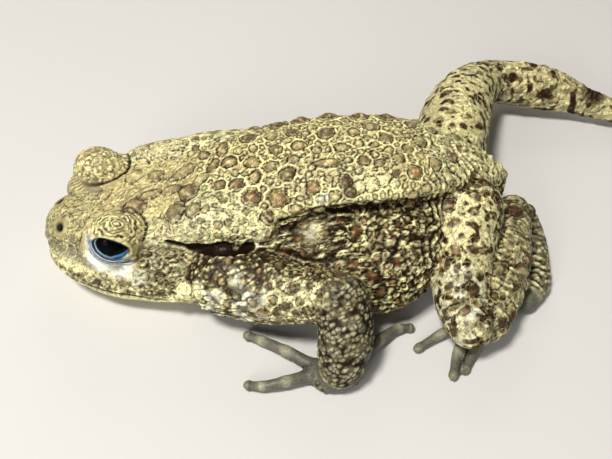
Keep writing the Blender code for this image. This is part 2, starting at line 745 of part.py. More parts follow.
def main():
    for old in list(bpy.data.objects):
        bpy.data.objects.remove(old)
    draw = random.Random(SEED)

    plain = plain_nodes()
    body = make_body()
    surfaces = {name: surface_and_drop(make("plain", 0.0)) for name, (make, _, _) in plain.items()}
    surfaces["body"] = surface_of(body)
    placed, warts = ridge_warts(body)
    warts += grow_warts(body, BACK_WARTS, BACK_WART_RADII, back_rays, draw, placed=placed)
    warts += grow_warts(body, FLANK_WARTS, FLANK_WART_RADII, flank_rays, draw)
    combine(body, warts + head_features(), "UNION")
    cuts = [make("room", GAP) for make, _, _ in plain.values()] + eye_pair(GAP)
    cuts += [eye_window(-1.0), eye_window(1.0), nostril(-1.0), nostril(1.0), floor_cutter()]
    slope = (MOUTH_Z_BACK - MOUTH_Z_FRONT) / 40.0
    cuts.append(box("neck", (NECK_X, -40.0, -5.0), (NECK_X + GAP, 40.0, 50.0)))
    cuts.append(box("mouth", (-60.0, -40.0, MOUTH_Z_FRONT), (NECK_X + 0.1, 40.0, MOUTH_Z_FRONT + GAP), slope))
    combine(body, cuts, "DIFFERENCE")
    nodes = [
        (take_piece(body, "head", lambda p: p.x < NECK_X and p.z > MOUTH_Z_FRONT + 1), SKIN_LOOK),
        (take_piece(body, "lower_jaw", lambda p: p.x < NECK_X and p.z < MOUTH_Z_FRONT), SKIN_LOOK),
        (take_piece(body, "torso", lambda p: p.x > NECK_X), SKIN_LOOK),
    ]
    bpy.data.objects.remove(body)
    nodes += [(made, EYE_LOOK) for made in eye_pair()]

    for name, (make, look, whole) in plain.items():
        made = make(name, 0.0)
        if name in WARTY:
            others = [surface for other, surface in surfaces.items() if other != name]
            rays = functools.partial(limb_rays, WARTY[name])
            combine(made, grow_warts(made, LIMB_WARTS, LIMB_WART_RADII, rays, draw, others), "UNION")
        rooms = [plain[other][0]("room", GAP) for other in whole]
        combine(made, [*rooms, floor_cutter()], "DIFFERENCE")
        nodes.append((keep_largest(made), look))

    corners = [v.co for made, _ in nodes for v in made.data.vertices]
    middle = [(min(c[k] for c in corners) + max(c[k] for c in corners)) / 2 for k in range(2)]
    for made, look in nodes:
        for vert in made.data.vertices:
            vert.co.x -= middle[0]
            vert.co.y -= middle[1]
        finish_node(made, look)


main()
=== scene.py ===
"""The looks of a life-size common toad: one warty skin over the whole body, and its eyes."""

import math
from collections import namedtuple
from functools import reduce
from itertools import product

import bmesh
import bpy
import numpy as np
from bpy.props import FloatProperty, FloatVectorProperty, IntProperty, PointerProperty
from mathutils import Matrix, Quaternion, Vector, kdtree, noise


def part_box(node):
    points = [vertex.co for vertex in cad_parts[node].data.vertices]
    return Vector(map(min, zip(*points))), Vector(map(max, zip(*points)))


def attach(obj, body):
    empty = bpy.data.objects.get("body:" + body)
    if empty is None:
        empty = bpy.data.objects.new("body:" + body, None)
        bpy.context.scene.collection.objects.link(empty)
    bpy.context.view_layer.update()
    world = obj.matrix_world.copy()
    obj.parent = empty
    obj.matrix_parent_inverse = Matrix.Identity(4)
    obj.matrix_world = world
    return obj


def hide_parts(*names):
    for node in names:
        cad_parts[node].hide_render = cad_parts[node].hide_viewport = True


bl_info = {
    "name": "Common toad",
    "version": (1, 0, 0),
    "blender": (4, 5, 0),
    "location": "3D View > Sidebar > Toad",
    "description": "Builds the skin and the eyes of a life-size common toad, and its stage",
    "category": "Object",
}

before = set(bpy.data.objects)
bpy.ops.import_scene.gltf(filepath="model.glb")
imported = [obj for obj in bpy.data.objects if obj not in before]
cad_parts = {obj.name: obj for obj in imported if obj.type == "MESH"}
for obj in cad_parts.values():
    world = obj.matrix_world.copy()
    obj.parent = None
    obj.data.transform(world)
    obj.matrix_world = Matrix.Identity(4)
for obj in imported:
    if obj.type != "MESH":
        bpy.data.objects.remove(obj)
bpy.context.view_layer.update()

MM = 0.001
SEED = 11
SIDES = (-1.0, 1.0)
FAR = 1e3
TINY = 1e-6

# The toad is laid out in millimetres, with its snout at x = -55 and the floor at z = 0, as the solids
# are. It is then moved so that its left eye lies where the left eye's solid is.

SNOUT_X = -55.0

# Trunk and head, from the snout to the vent. Each row is one cross-section: place along the body,
# half width, underside, back, height share of the widest point, half width share of the back's edge,
# height share of that edge, how far the flank sinks under the edge, as a share of the half width, and
# how far the section sits to the right of the middle line.
BODY_SECTIONS = (
    (-55.0, 1.2, 9.6, 12.6, 0.45, 0.60, 0.88, 0.00, 0.0),
    (-54.6, 4.8, 7.2, 15.4, 0.42, 0.58, 0.88, 0.00, 0.0),
    (-53.0, 8.2, 5.2, 17.8, 0.38, 0.56, 0.88, 0.00, 0.0),
    (-50.0, 11.2, 3.8, 19.4, 0.34, 0.54, 0.89, 0.01, 0.0),
    (-45.5, 14.2, 2.8, 20.8, 0.30, 0.54, 0.90, 0.03, 0.0),
    (-40.0, 16.8, 2.2, 22.2, 0.28, 0.53, 0.90, 0.05, 0.0),
    (-34.0, 18.8, 1.8, 23.6, 0.28, 0.58, 0.90, 0.04, 0.0),
    (-28.0, 20.2, 1.4, 25.2, 0.28, 0.64, 0.88, 0.03, 0.0),
    (-22.0, 20.6, 1.0, 27.0, 0.30, 0.70, 0.85, 0.03, 0.0),
    (-16.0, 20.4, 0.6, 28.8, 0.34, 0.72, 0.84, 0.03, 0.0),
    (-8.0, 21.0, 0.2, 30.8, 0.36, 0.70, 0.84, 0.04, 0.0),
    (0.0, 22.4, -0.4, 32.4, 0.36, 0.62, 0.86, 0.06, -0.2),
    (9.0, 26.8, -0.5, 33.6, 0.36, 0.54, 0.88, 0.09, -0.6),
    (18.0, 29.2, -0.5, 34.2, 0.36, 0.49, 0.89, 0.10, -1.4),
    (27.0, 27.4, -0.5, 34.4, 0.38, 0.50, 0.89, 0.09, -2.0),
    (35.0, 21.4, 0.2, 33.0, 0.42, 0.52, 0.89, 0.05, -1.6),
    (42.0, 15.6, 2.4, 29.8, 0.46, 0.56, 0.88, 0.03, -0.6),
    (48.5, 10.6, 5.8, 26.2, 0.48, 0.60, 0.86, 0.00, 0.0),
    (53.5, 6.8, 9.4, 23.0, 0.50, 0.62, 0.84, 0.00, 0.0),
    (56.6, 3.6, 12.8, 20.4, 0.50, 0.62, 0.84, 0.00, 0.0),
    (57.6, 0.8, 15.4, 17.8, 0.50, 0.62, 0.84, 0.00, 0.0),
)

# Points round each section, and sections for each row above.
BODY_POINTS = 96
BODY_RINGS = 5

# The left eye. The right one is its mirror image, and lies further forward.
EYE_CENTRE = (-39.0, -10.6, 20.5)
EYE_RADIUS = 5.0
EYE_AXIS = (0.0, -0.95, 0.31)
RIGHT_FORWARD = 3.2

# The eye's opening, in degrees seen from the eye's centre.
OPENING_SIDES = 55.0
OPENING_ABOVE = 33.0
OPENING_BELOW = 33.0
OPENING_TURN = -30.0
OPENING_INSET = 4.0
OPENING_POINTS = 48

# How far the cut for the opening reaches, and the eyeball's room beneath the lids.
OPENING_REACH = 11.0
BALL_ROOM = 0.05

# Lids and cheeks: offset from the eye's centre and radii, and the lids' edges: thickness and how far
# they stand off the eyeball.
LID_OFFSET = (0.8, 0.2, 0.8)
LID_RADII = (6.7, 5.4, 4.8)
CHEEK_OFFSET = (0.6, 0.9, -4.6)
CHEEK_RADII = (8.6, 5.7, 6.4)
UPPER_EDGE = (0.62, 0.50)
LOWER_EDGE = (0.42, 0.25)

# Nostril, eardrum and mouth of the left side.
NOSTRIL = (-51.0, -4.0, 18.3)
NOSTRIL_RIM = 1.7
NOSTRIL_RADIUS = 1.1
NOSTRIL_DEPTH = 1.3
EARDRUM = (-29.2, -19.0, 13.4)
EARDRUM_RADIUS = 2.0
MOUTH_Z_FRONT = 8.75
MOUTH_SLOPE = -0.04
MOUTH_CORNER_X = -21.5
MOUTH_DEPTH = 0.55
LIP_RISE = 0.30

# Centre lines of the glands and limbs, with radii.
PAROTOID = (
    ((-30.6, -11.8, 20.6), 2.3),
    ((-26.0, -11.6, 22.0), 3.8),
    ((-19.6, -11.2, 23.4), 5.0),
    ((-12.8, -11.6, 24.0), 5.4),
    ((-6.4, -13.6, 23.4), 3.6),
)
RIGHT_PAROTOID = (
    ((-33.0, 12.4, 21.4), 3.0),
    ((-27.0, 11.8, 22.4), 4.1),
    ((-19.6, 10.8, 23.2), 4.8),
    ((-12.8, 11.2, 23.8), 5.0),
    ((-6.4, 13.2, 23.4), 3.6),
)
UPPER_ARM = (
    ((-14.0, -18.8, 12.6), 8.9),
    ((-5.0, -24.4, 13.6), 7.6),
    ((3.0, -28.8, 16.2), 6.1),
    ((9.6, -31.6, 18.0), 5.6),
)
FOREARM = (
    ((9.8, -32.4, 17.4), 5.4),
    ((9.8, -36.6, 12.6), 6.1),
    ((8.9, -40.2, 7.8), 5.6),
    ((8.0, -41.8, 5.2), 4.6),
)
LEFT_THIGH = (
    ((44.6, -10.2, 17.4), 9.2),
    ((42.0, -16.0, 16.2), 8.4),
    ((39.6, -23.6, 14.0), 7.2),
    ((38.2, -31.0, 11.8), 6.3),
    ((39.2, -37.0, 9.6), 5.6),
)
LEFT_SHANK = (
    ((43.4, -35.6, 9.0), 5.4),
    ((48.4, -28.4, 9.8), 6.2),
    ((52.8, -20.0, 10.0), 6.4),
    ((57.2, -11.0, 9.8), 5.6),
    ((61.0, -4.6, 8.8), 4.5),
)
LEFT_TARSUS = (
    ((64.2, -4.6, 5.6), 4.0),
    ((64.2, -13.6, 4.4), 3.5),
    ((62.0, -23.0, 3.6), 3.3),
    ((57.2, -28.0, 3.0), 3.2),
)
RIGHT_THIGH = (
    ((46.4, 10.6, 17.6), 9.4),
    ((50.4, 20.0, 17.0), 9.4),
    ((56.0, 30.0, 15.4), 8.8),
    ((62.4, 38.4, 13.4), 7.4),
    ((69.0, 44.4, 11.4), 6.0),
)
RIGHT_SHANK = (
    ((70.6, 44.4, 11.0), 5.8),
    ((80.0, 43.6, 9.6), 6.6),
    ((90.0, 41.0, 8.4), 6.0),
    ((98.0, 37.6, 6.8), 4.4),
    ((105.0, 34.4, 5.6), 3.6),
    ((111.0, 32.0, 5.0), 3.7),
)
RIGHT_TARSUS = (
    ((112.6, 32.4, 4.6), 3.6),
    ((117.0, 38.0, 4.2), 3.3),
    ((121.0, 43.4, 3.6), 3.1),
    ((124.0, 47.6, 3.0), 3.1),
)
RIGHT_UPPER_ARM = (
    ((-14.0, 15.5, 13.5), 6.6),
    ((-6.0, 19.0, 12.6), 5.6),
    ((2.0, 22.0, 12.0), 5.2),
    ((9.4, 24.4, 11.4), 5.0),
)
RIGHT_FOREARM = (
    ((9.0, 25.4, 10.8), 4.9),
    ((5.6, 28.0, 8.6), 5.4),
    ((1.4, 30.4, 6.0), 5.0),
    ((-1.2, 31.6, 4.8), 4.2),
)

# The left hand. The right one is its mirror image, shifted and turned.
RIGHT_HAND_SHIFT = (-9.2, -8.6)
RIGHT_HAND_TURN = 4.0
PALM_CENTRE = (7.4, -41.0, 2.6)
PALM_RADII = (6.4, 4.8, 3.0)
WRIST_IN = 0.6
FINGERS = (
    ((12.6, -38.6, 2.2), (18.6, -34.6, 2.8), (24.0, -31.4, 2.0), (27.6, -31.0, 1.3)),
    ((9.0, -37.6, 2.2), (10.6, -32.4, 2.6), (11.6, -27.6, 2.0), (12.0, -24.6, 1.3)),
    ((3.0, -38.4, 2.2), (-2.2, -34.6, 2.9), (-7.2, -30.6, 2.1), (-10.8, -28.0, 1.3)),
    ((1.8, -40.8, 2.2), (-3.6, -41.8, 2.8), (-8.8, -41.9, 2.1), (-12.2, -40.8, 1.3)),
)
FINGER_RADII = (2.2, 1.9, 1.65, 1.5, 1.35)

# Each toe from the first to the fifth: heading in degrees from +X, length, and how many degrees it
# curls along that length.
LEFT_TOES = (
    (168.0, 14.0, 6.0),
    (180.0, 20.0, 6.0),
    (192.0, 30.5, 14.0),
    (196.0, 30.0, 62.0),
    (210.0, 25.5, 26.0),
)
RIGHT_TOES = (
    (-10.0, 14.0, 4.0),
    (6.0, 20.0, 4.0),
    (22.0, 27.5, 4.0),
    (41.0, 35.5, 0.0),
    (61.0, 28.0, -4.0),
)
TOE_RADII = (2.6, 2.1, 1.7, 1.5, 1.3)
TOE_HEIGHTS = (2.4, 2.6, 2.0, 1.2)
TOE_SHARES = (0.10, 0.45, 0.75, 1.0)
TOE_STEPS = 12
DIGIT_JOINTS = (0.52, 0.78)
JOINT_WIDTH = 0.05
KNUCKLE_RISE = 0.14
TIP_DROP = 0.28
WEB_SHARE = 0.52
WEB_HEIGHTS = (0.4, 1.8)
WEB_DRAWN_IN = 0.25

# Degrees from a tube's last full section to each one that closes its end.
DOME_ANGLES = (17.0, 35.0, 52.0, 68.0, 82.0)

# How limbs are measured on the skin: steps for each span of a centre line, how far round a limb its
# points are looked for, and between which distances from its surface a point belongs to it.
LIMB_SPANS = 3
LIMB_MARGIN = 6.0
LIMB_EDGE = (1.6, 0.4)

# The row of large warts on each side: place along the body, distance from the middle, and radius.
RIDGE_ROW = (
    (-30.5, 5.4, 1.9),
    (-24.0, 5.6, 1.8),
    (-17.0, 4.6, 1.6),
    (-8.0, 6.0, 1.6),
    (1.0, 12.4, 2.2),
    (8.0, 13.0, 2.3),
    (17.0, 11.6, 2.3),
    (26.0, 9.6, 2.0),
    (31.0, 8.8, 1.7),
)
RIDGE_WARTS = 11

# Single swellings of the head, neck and back: place, radius, height as a share of it, length as a share
# of the width, the way it runs in degrees, how dark and how red it is, and how clearly its colour shows.
SWELLINGS = (
    ((-33.7, -4.7, 23.5), 2.4, 0.46, 1.08, 0.0, 0.55, 0.0, 0.85),
    ((-24.6, -9.6, 26.3), 2.5, 0.50, 1.08, 20.0, 0.62, 0.0, 0.95),
    ((-20.6, -10.9, 28.0), 1.9, 0.50, 1.08, 70.0, 0.62, 0.0, 0.95),
    ((-21.5, -5.0, 27.7), 2.1, 0.50, 1.08, 0.0, 0.68, 0.1, 0.95),
    ((-28.3, 3.0, 25.1), 1.8, 0.46, 1.0, 0.0, 0.6, 0.0, 0.85),
    ((-33.4, 4.8, 23.5), 2.0, 0.36, 1.08, 20.0, 0.2, 0.0, 0.35),
    ((-31.5, 8.4, 23.4), 1.7, 0.3, 1.08, 0.0, 0.1, 0.0, 0.28),
    ((-37.0, 3.6, 22.9), 1.6, 0.2, 1.08, 40.0, 0.1, 0.0, 0.28),
    ((-22.0, 1.6, 27.1), 1.5, 0.5, 2.2, 24.0, 0.55, 0.1, 0.8),
    ((-30.0, -2.4, 24.8), 1.2, 0.50, 2.2, 4.0, 0.55, 0.0, 0.85),
    ((-25.2, -2.6, 26.1), 1.2, 0.50, 1.9, -4.0, 0.6, 0.1, 0.85),
    ((-18.2, -2.2, 28.1), 1.26, 0.42, 1.6, 30.0, 0.45, 0.2, 0.5),
    ((-15.0, 1.0, 29.1), 1.08, 0.45, 1.8, 55.0, 0.4, 0.1, 1.0),
    ((-12.6, 5.4, 29.4), 1.17, 0.45, 1.9, 75.0, 0.3, 0.1, 1.0),
    ((-11.5, 0.6, 30.3), 1.62, 0.4, 1.08, 0.0, 0.3, 0.2, 1.0),
    ((-6.4, -1.1, 31.3), 1.71, 0.4, 1.08, 0.0, 0.25, 0.3, 1.0),
    ((-10.5, -6.6, 29.8), 1.53, 0.42, 1.08, 0.0, 0.75, 0.3, 1.0),
    ((-7.6, -10.2, 29.0), 1.89, 0.4, 1.08, 0.0, 0.7, 0.3, 1.0),
    ((-14.3, -5.4, 29.3), 1.26, 0.4, 1.08, 0.0, 0.55, 0.2, 1.0),
    ((-2.0, -11.6, 29.9), 1.98, 0.42, 1.08, 0.0, 0.45, 0.4, 1.0),
    ((-4.7, -14.0, 26.8), 1.44, 0.4, 1.0, 0.0, 0.9, 0.3, 1.0),
    ((5.9, -10.9, 31.7), 1.53, 0.42, 1.0, 0.0, 0.15, 0.6, 1.0),
    ((13.2, -11.0, 33.0), 1.44, 0.42, 1.08, 0.0, 0.95, 0.3, 1.0),
    ((14.0, -13.6, 32.4), 1.26, 0.42, 1.08, 0.0, 0.9, 0.3, 1.0),
    ((18.2, -6.3, 34.1), 1.26, 0.42, 1.0, 0.0, 0.8, 0.5, 1.0),
    ((17.6, 3.0, 34.2), 1.35, 0.42, 1.0, 0.0, 0.15, 0.1, 1.0),
    ((29.2, -10.3, 33.0), 1.62, 0.42, 1.08, 0.0, 0.3, 0.8, 1.0),
    ((24.6, -10.5, 33.6), 0.81, 0.42, 1.0, 0.0, 0.95, 0.2, 1.0),
    ((40.4, -4.2, 30.5), 1.44, 0.4, 1.08, 0.0, 0.85, 0.4, 1.0),
    ((38.1, -13.1, 23.6), 1.53, 0.34, 1.08, 60.0, 0.95, 0.2, 1.0),
    ((10.5, -5.7, 33.6), 1.08, 0.42, 2.7, -8.0, 0.25, 0.2, 1.0),
    ((4.7, 1.2, 33.1), 1.44, 0.42, 1.08, 0.0, 0.3, 0.2, 1.0),
    ((-22.4, -20.4, 8.2), 1.8, 0.5, 1.5, 0.0, 0.0, 0.0, 0.0),
    ((-26.6, -20.2, 8.8), 1.9, 0.4, 1.08, 0.0, 0.05, 0.0, 0.0),
    ((-22.4, 20.4, 8.2), 1.8, 0.5, 1.5, 0.0, 0.0, 0.0, 0.0),
    ((-26.6, 20.2, 8.8), 1.9, 0.4, 1.08, 0.0, 0.05, 0.0, 0.0),
    ((-41.9, -14.1, 12.1), 0.7, 0.15, 1.0, 0.0, 0.45, 0.0, 0.6),
    ((-38.5, -15.7, 11.9), 0.8, 0.15, 1.0, 0.0, 0.40, 0.0, 0.7),
    ((15.9, -12.7, 32.8), 1.5, 0.44, 1.2, 30.0, 0.0, 0.0, 0.0),
    ((18.5, -12.4, 33.1), 1.9, 0.44, 1.1, 0.0, 0.0, 0.0, 0.0),
    ((21.5, -11.9, 33.3), 1.6, 0.44, 1.2, 20.0, 0.0, 0.0, 0.0),
    ((23.9, -12.6, 32.6), 1.1, 0.44, 1.1, 0.0, 0.0, 0.0, 0.0),
    ((-18.2, -11.6, 28.7), 0.8, 0.22, 1.2, 40.0, 0.0, 0.12, 1.0),
    ((-29.3, -17.3, 14.6), 0.7, 0.20, 1.2, 0.0, 1.0, 0.0, 1.0),
    ((-14.5, -8.2, 28.1), 0.8, 0.20, 1.0, 0.0, 0.75, 0.2, 0.9),
    ((-12.2, -10.8, 29.2), 0.6, 0.18, 1.0, 0.0, 0.35, 0.1, 0.7),
    ((47.9, -26.5, 16.3), 1.8, 0.34, 1.2, 60.0, 0.40, 0.0, 0.8),
    ((45.6, -30.0, 15.2), 1.7, 0.34, 1.3, 60.0, 0.25, 0.0, 0.7),
    ((50.6, -22.9, 16.2), 1.3, 0.30, 1.1, 60.0, 0.40, 0.0, 0.7),
    ((-14.8, -12.4, 29.0), 0.7, 0.18, 1.0, 0.0, 0.35, 0.1, 0.7),
    ((-12.0, -8.7, 29.2), 0.55, 0.18, 1.0, 0.0, 0.35, 0.1, 0.7),
    ((-15.8, -11.2, 29.1), 0.55, 0.18, 1.0, 0.0, 0.35, 0.1, 0.7),
    ((-11.1, -12.0, 28.8), 0.6, 0.18, 1.0, 0.0, 0.35, 0.1, 0.7),
)

# Warts strewn over a region: how many, smallest and largest radius, room round each as a share, how much
# longer than wide some are, height as a share of the radius, how dark, how red, how strong the dark ring
# is, which is painted shade in the moat round the wart and partly its own outline, how pointed, and how
# clearly the colour shows.
WART_FIELDS = (
    ("shoulders", 22, 1.2, 1.9, 1.45, 0.35, 0.42, 0.60, 0.05, 0.9, 0.0, 0.9),
    ("warty", 24, 1.2, 1.8, 1.60, 0.30, 0.42, 0.65, 0.05, 0.9, 0.0, 0.9),
    ("warty", 110, 0.7, 1.2, 1.45, 0.40, 0.34, 0.35, 0.05, 0.8, 0.0, 0.65),
    ("warty", 600, 0.35, 0.80, 1.35, 0.50, 0.32, 0.25, 0.03, 0.7, 0.0, 0.45),
    ("rump", 12, 0.7, 1.2, 1.60, 0.60, 0.30, 0.45, 0.15, 0.5, 0.0, 0.8),
    ("head_top", 12, 0.8, 1.4, 1.35, 0.20, 0.26, 0.20, 0.05, 0.5, 0.0, 0.25),
    ("head_top", 90, 0.30, 0.6, 1.35, 0.20, 0.25, 0.20, 0.05, 0.25, 0.0, 0.3),
    ("right_lid", 40, 0.35, 0.75, 1.25, 0.10, 0.35, 0.25, 0.05, 0.5, 0.0, 0.35),
    ("gland_rear", 44, 0.50, 0.85, 1.25, 0.10, 0.16, 0.55, 0.10, 1.0, 0.0, 0.95),
    ("gland", 60, 0.30, 0.60, 1.40, 0.20, 0.24, 0.45, 0.05, 0.5, 0.0, 0.6),
    ("lip", 170, 0.30, 0.65, 1.30, 0.30, 0.15, 0.75, 0.10, 0.4, 0.0, 0.9),
    ("cheek", 70, 0.5, 0.9, 1.30, 0.30, 0.40, 0.40, 0.20, 0.5, 0.1, 0.6),
    ("flank_front", 50, 0.7, 1.3, 1.55, 0.60, 0.55, 0.45, 0.85, 0.5, 0.35, 1.0),
    ("flank_upper", 46, 0.7, 1.25, 1.40, 0.30, 0.75, 0.90, 0.35, 0.6, 0.60, 1.0),
    ("flank_lower", 44, 0.7, 1.25, 1.45, 0.30, 0.75, 0.45, 1.0, 0.6, 0.60, 1.0),
    ("flank_rear", 130, 0.40, 0.65, 1.35, 0.30, 0.60, 0.60, 0.7, 0.5, 0.45, 0.9),
    ("low", 200, 0.45, 0.8, 1.20, 0.10, 0.45, 0.35, 0.45, 0.5, 0.20, 0.6),
    ("shoulder", 34, 0.7, 1.2, 1.50, 0.30, 0.50, 0.70, 0.40, 0.6, 0.15, 0.9),
    ("arm", 80, 0.7, 1.25, 1.30, 0.35, 0.42, 0.90, 0.20, 0.9, 0.10, 1.0),
    ("arm", 100, 0.35, 0.55, 1.30, 0.20, 0.40, 0.50, 0.25, 0.4, 0.10, 0.8),
    ("thigh_left", 80, 0.7, 1.35, 1.22, 0.90, 0.20, 1.0, 0.10, 0.15, 0.0, 1.0),
    ("thigh_left", 110, 0.30, 0.55, 1.30, 0.60, 0.25, 0.95, 0.10, 0.1, 0.0, 0.9),
    ("thigh_right", 100, 0.7, 1.3, 1.25, 0.70, 0.22, 0.95, 0.15, 0.2, 0.0, 1.0),
    ("thigh_right", 110, 0.30, 0.6, 1.40, 0.40, 0.25, 0.80, 0.10, 0.1, 0.0, 0.9),
    ("shank_left", 14, 1.5, 2.3, 1.05, 0.60, 0.45, 0.30, 0.10, 0.8, 0.0, 0.9),
    ("shank_left", 90, 0.5, 1.0, 1.35, 0.60, 0.24, 0.90, 0.15, 0.2, 0.0, 0.8),
    ("shank_right", 36, 0.8, 1.5, 1.25, 0.50, 0.30, 0.60, 0.20, 0.3, 0.0, 0.8),
    ("shank_right", 90, 0.35, 0.7, 1.25, 0.30, 0.30, 0.60, 0.15, 0.2, 0.0, 0.7),
    ("tarsus", 110, 0.4, 0.7, 1.35, 0.20, 0.30, 0.50, 0.10, 0.3, 0.0, 0.6),
    ("flank_upper", 24, 0.7, 1.1, 1.20, 0.30, 0.70, 0.90, 0.35, 0.6, 0.60, 1.0),
    ("flank_lower", 24, 0.7, 1.1, 1.20, 0.30, 0.70, 0.50, 0.9, 0.6, 0.60, 1.0),
)

# The same last six for the row of large warts.
RIDGE_LOOK = (0.42, 0.80, 0.10, 1.0, 0.1, 1.0)

# Pebbled skin: region, length and width of a pebble, its height, and how dark the painted shade in the
# gaps is.
GRANULES = (
    ("flank_front", 3.4, 1.2, 0.65, 1.0),
    ("flank_front", 1.5, 0.9, 0.26, 0.6),
    ("flank_rear", 1.8, 1.4, 0.48, 1.0),
    ("flank_rear", 0.95, 0.8, 0.12, 0.35),
    ("low", 1.5, 1.3, 0.38, 1.0),
    ("shoulder", 2.0, 1.4, 0.45, 0.9),
    ("shoulder", 1.0, 0.8, 0.20, 0.7),
    ("cheek", 1.9, 1.0, 0.26, 0.8),
    ("cheek", 0.95, 0.6, 0.16, 0.6),
    ("arm", 1.6, 1.3, 0.38, 0.65),
    ("forearm", 1.5, 1.15, 0.46, 1.0),
    ("tarsus", 1.6, 1.1, 0.24, 0.7),
    ("lip", 1.3, 1.1, 0.10, 0.65),
    ("shank_left", 1.7, 1.5, 0.22, 0.5),
    ("shank_right", 1.7, 1.5, 0.24, 0.5),
    ("thigh_left", 1.5, 1.4, 0.14, 0.35),
    ("thigh_right", 1.5, 1.4, 0.16, 0.35),
    ("back", 1.3, 1.1, 0.16, 0.35),
    ("head_top", 1.5, 1.1, 0.15, 0.20),
    ("snout", 1.3, 1.1, 0.14, 0.35),
    ("gland", 1.5, 1.1, 0.14, 0.30),
    ("right_lid", 1.5, 1.2, 0.24, 0.35),
    ("left_lid", 1.0, 0.8, 0.10, 0.45),
)

# Fine wrinkles: region, size of their loops, depth, and how dark the painted shade in them is.
WRINKLES = (
    ("back", (2.4, 2.4, 2.4), 0.07, 0.60),
    ("head_top", (3.2, 2.2, 2.2), 0.08, 0.38),
    ("snout", (2.6, 2.2, 2.2), 0.08, 0.40),
    ("jaw_gland", (2.0, 1.5, 2.4), 0.10, 0.70),
    ("cheek", (2.4, 1.4, 1.4), 0.06, 0.60),
    ("forearm", (2.6, 2.6, 1.4), 0.06, 0.60),
    ("gland", (3.2, 1.8, 1.8), 0.10, 0.65),
    ("face", (2.2, 1.8, 1.8), 0.06, 0.55),
    ("thigh_left", (2.4, 2.4, 1.6), 0.07, 0.35),
    ("thigh_right", (2.4, 2.4, 1.6), 0.07, 0.35),
    ("shank_left", (2.6, 2.6, 2.6), 0.07, 0.45),
    ("shank_right", (2.6, 1.8, 1.8), 0.07, 0.40),
    ("arm", (2.2, 2.2, 2.2), 0.08, 0.60),
    ("digits", (1.6, 1.6, 1.6), 0.03, 0.30),
)

# Raised pale wrinkles: region, size of their loops, height, and how clearly they show.
PALE_WRINKLES = (
    ("warty", (3.0, 2.4, 2.4), 0.10, 0.85),
    ("rump", (3.2, 1.8, 2.0), 0.14, 1.0),
    ("gland_rear", (2.0, 2.0, 2.0), 0.10, 0.9),
    ("gland", (2.6, 1.8, 1.8), 0.08, 0.7),
    ("head_top", (2.6, 2.0, 2.0), 0.08, 0.75),
    ("right_lid", (2.0, 1.8, 1.8), 0.08, 0.8),
    ("left_lid", (2.2, 1.4, 1.4), 0.06, 0.7),
    ("snout", (2.2, 2.0, 2.0), 0.06, 0.45),
    ("flank", (4.2, 1.5, 1.5), 0.14, 0.9),
    ("cheek", (2.4, 1.2, 1.2), 0.08, 0.8),
    ("jaw_gland", (2.4, 1.8, 1.8), 0.08, 0.8),
    ("thigh_left", (2.0, 2.0, 3.4), 0.06, 0.5),
    ("thigh_right", (2.6, 2.6, 2.0), 0.06, 0.5),
    ("shank_left", (2.6, 2.6, 2.0), 0.06, 0.5),
    ("arm", (2.4, 2.4, 2.4), 0.08, 0.9),
)

# Rings of wrinkles across a limb: where they begin and end along it, their pitch, the limb's length,
# and their height.
JOINT_RINGS = (
    ("upper_arm", 0.74, 0.95, 1.2, 28.0, 0.10),
    ("forearm", 0.80, 1.0, 1.0, 18.0, 0.12),
    ("thigh_left", 0.72, 1.0, 1.7, 32.0, 0.20),
    ("shank_left", 0.0, 1.0, 2.3, 38.0, 0.12),
    ("shank_right", 0.3, 1.0, 2.3, 42.0, 0.08),
    ("tarsus", 0.0, 1.0, 2.1, 27.0, 0.22),
)

# Long folds: region, way across them as shares of x, of the distance from the middle and of z, pitch,
# how much they wander, size of that wandering and its shift, height, between which depths painted shade
# darkens them, and how dark that shade is.
LONG_FOLDS = (
    ("flank", (-0.14, 0.0, 1.0), 2.9, 1.1, (14.0, 5.0, 5.0), 5.0, 0.45, (0.1, 0.9), 1.0),
    ("rump", (1.0, -0.5, 0.0), 3.0, 1.2, (5.0, 5.0, 5.0), 9.0, 0.40, (0.2, 1.0), 0.6),
    ("flank_rear", (1.0, 0.35, 0.0), 2.4, 0.9, (5.0, 5.0, 12.0), 8.0, 0.30, (0.1, 0.9), 1.0),
)

# The plump glands at the corners of the jaw: middle and radii.
JAW_GLANDS = (
    ((-23.6, -20.6, 11.2), (2.4, 1.9, 2.3)),
    ((-20.9, -22.8, 13.8), (1.2, 1.4, 2.1)),
    ((-23.6, 20.4, 11.2), (2.4, 1.9, 2.3)),
    ((-20.4, 20.6, 11.4), (1.2, 1.3, 1.9)),
)

